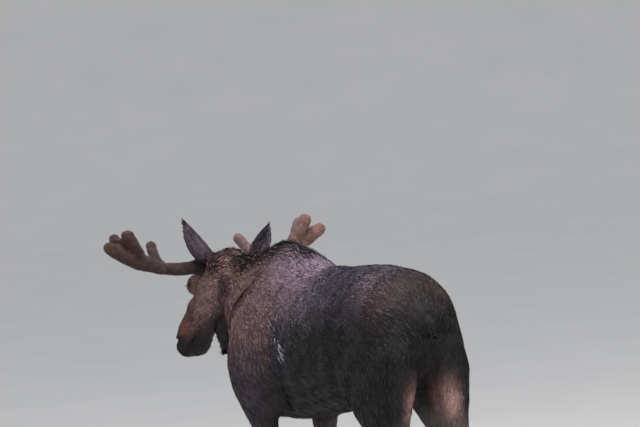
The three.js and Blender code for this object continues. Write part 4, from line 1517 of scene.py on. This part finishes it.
# %% The eyes and their lashes
def lashes_of(name, count=34):
    """A mesh of blades along the upper lid, longest in the middle, where s is 0, and shorter as s^2 grows."""
    mirror = mirrors[name]
    s = np.linspace(-0.95, 0.95, count)
    rim = slit * (half_slit * s)[:, None] + lid_up * (0.0120 * np.sqrt(1 - s**2))[:, None]
    rim = rim + gaze * np.sqrt(eye_radius**2 - (rim**2).sum(1))[:, None]
    roots = crown + (eye_in_head + rim * 1.14) * mirror @ head_axes.T
    ahead = (gaze - 0.30 * lid_up + slit * (0.35 * s)[:, None]) * mirror @ head_axes.T
    normals = np.tile(head_axes @ (lid_up * mirror), (count, 1))
    dark = np.tile(tint("161213"), (count, 1))
    return blades(
        f"lashes_{name}", roots, normals, unit(ahead), 0.026 - 0.010 * s**2, np.full(count, 0.0013), 14,
        dark, 3, unrolled(roots, head_axes[:, 1]), 170 + sides[name], sunk=0,
    )


wet_eye = eye_material()
for name in sides:
    ball = object_of(f"eyeball_{name}", eye_piece(name), wet_eye)
    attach(ball, "root")
    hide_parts(f"eye_{name}")
    lash = object_of(f"lashes_{name}", lashes_of(name), face_hair)
    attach(lash, "root")
    print(ball.name, len(ball.data.polygons), "faces,", lash.name, len(lash.data.polygons))

# %% [markdown]
# ## Hooves
#
# Each foot has two toes of dark horn and two dewclaws behind. Horn grows in fine rings from the hair line
# down, and its lower edge is worn paler.


# %% The hooves
def horn_material():
    """Dark horn with growth rings across it, fine streaks down it, and a scuffed lower edge."""
    paint = Paint("horn", Specular_IOR_Level=0.45)
    place = paint.place()
    height = paint.node("ShaderNodeSeparateXYZ", None, {"Vector": place}, output="Z")
    grain = paint.noise(paint.stretched(place, (1.0, 1.0, 0.12)), 420.0, 3.0)
    blotches = paint.noise(place, 45.0, 3.0)
    rings = paint.node("ShaderNodeMath", {"operation": "SINE"}, {0: 900.0 * height + 6.0 * blotches})
    worn = (1 - 60.0 * height).held() * blotches
    colour = paint.mixed(grain, tint("1b1613"), tint("3a2f28"))
    colour = paint.mixed(worn, colour, tint("6f6354"))
    return paint.finish(
        Base_Color=colour,
        Roughness=(0.42 + 0.25 * blotches + 0.2 * worn).held(0.3, 0.9),
        Normal=paint.bumps(0.6 * rings + grain, 0.0008, 0.8),
    )


def horn_shape(mesh):
    """Smooth horn, flat where it stands on the floor, raised under the hair line and ringed by its growth."""
    toes = points_of(mesh)
    on_floor = toes[:, 2] < 0.002
    toes = ironed(toes, neighbours(mesh), np.where(on_floor, 0.0, 0.5), times=8)
    toes[:, 2] = np.where(on_floor, 0.0, np.maximum(toes[:, 2], 0.0))
    toes[:, 2] += 0.016 * rise(toes[:, 2], 0.035, 0.085)  # the horn runs up under the hair line
    rings = 0.0002 * np.sin(2 * np.pi * (toes[:, 2] + 0.25 * toes[:, 1]) / 0.009)
    rings = rings * rise(toes[:, 2], 0.004, 0.012)
    set_points(mesh, toes)
    set_points(mesh, toes + normals_of(mesh) * rings[:, None])
    mesh.shade_smooth()


horn = horn_material()
for foot in [f"{end}_{name}" for end in ("front", "hind") for name in sides]:
    nodes = [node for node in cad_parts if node.startswith((f"hoof_{foot}", f"dewclaw_{foot}"))]
    mesh = remeshed(f"horn_{foot}", *joined([grown_copy(node, 0.0) for node in nodes]), 0.004)
    horn_shape(mesh)
    piece = object_of(f"horn_{foot}", mesh, horn)
    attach(piece, "root")
    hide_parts(*nodes)
    print(piece.name, len(triangles_of(mesh)), "triangles")

# %% [markdown]
# ## Studio
#
# The floor is a wide shallow bowl, flat under the animal and curving up far away, so that no horizon shows.
# A large lamp overhead stands for an overcast sky.

# %% The floor
rings, spokes = 28, 64
floor_radius, flat_radius, rim_height = 60, 28, 14  # metres
radius = np.linspace(0, floor_radius, rings + 1)[1:, None]
angle = np.linspace(0, 2 * np.pi, spokes, endpoint=False)
height = np.repeat(rim_height * rise(radius, flat_radius, floor_radius) ** 1.2, spokes, 1)
bowl = np.stack([radius * np.cos(angle), radius * np.sin(angle), height], -1).reshape(-1, 3)
floor_mesh = mesh_of("floor", bowl, ring_faces(rings - 1, spokes))
with edited(floor_mesh) as work:
    work.verts.ensure_lookup_table()
    work.faces.new(work.verts[:spokes])
floor_paint = Paint("floor", Specular_IOR_Level=0.1)
mottle = floor_paint.noise(floor_paint.place(), 1.2, 3.0)
pale_floor = floor_paint.mixed(mottle, tint("dad7d5"), tint("e4e0de"))
floor_paint.finish(Base_Color=pale_floor, Roughness=0.75 + 0.1 * mottle)
floor = object_of("floor", floor_mesh, floor_paint.material)

# %% The light
scene = bpy.context.scene
scene.world = bpy.data.worlds.new("studio")
scene.world.use_nodes = True
background = scene.world.node_tree.nodes["Background"].inputs
background["Color"].default_value = (*tint("dfe4e8"), 1)
background["Strength"].default_value = 0.75

sky = bpy.data.lights.new("sky", "AREA")
sky.shape, sky.size, sky.energy, sky.color = "DISK", 7.0, 700, (0.96, 0.98, 1.0)  # metres, watts
lamp = bpy.data.objects.new("sky", sky)
lamp.location = (1.0, 2.5, 7.5)
lamp.rotation_euler = (Vector((0, 0.2, 1.2)) - lamp.location).to_track_quat("-Z", "Y").to_euler()
scene.collection.objects.link(lamp)
print("floor", 2 * floor_radius, "m across, lamp", sky.size, "m across")
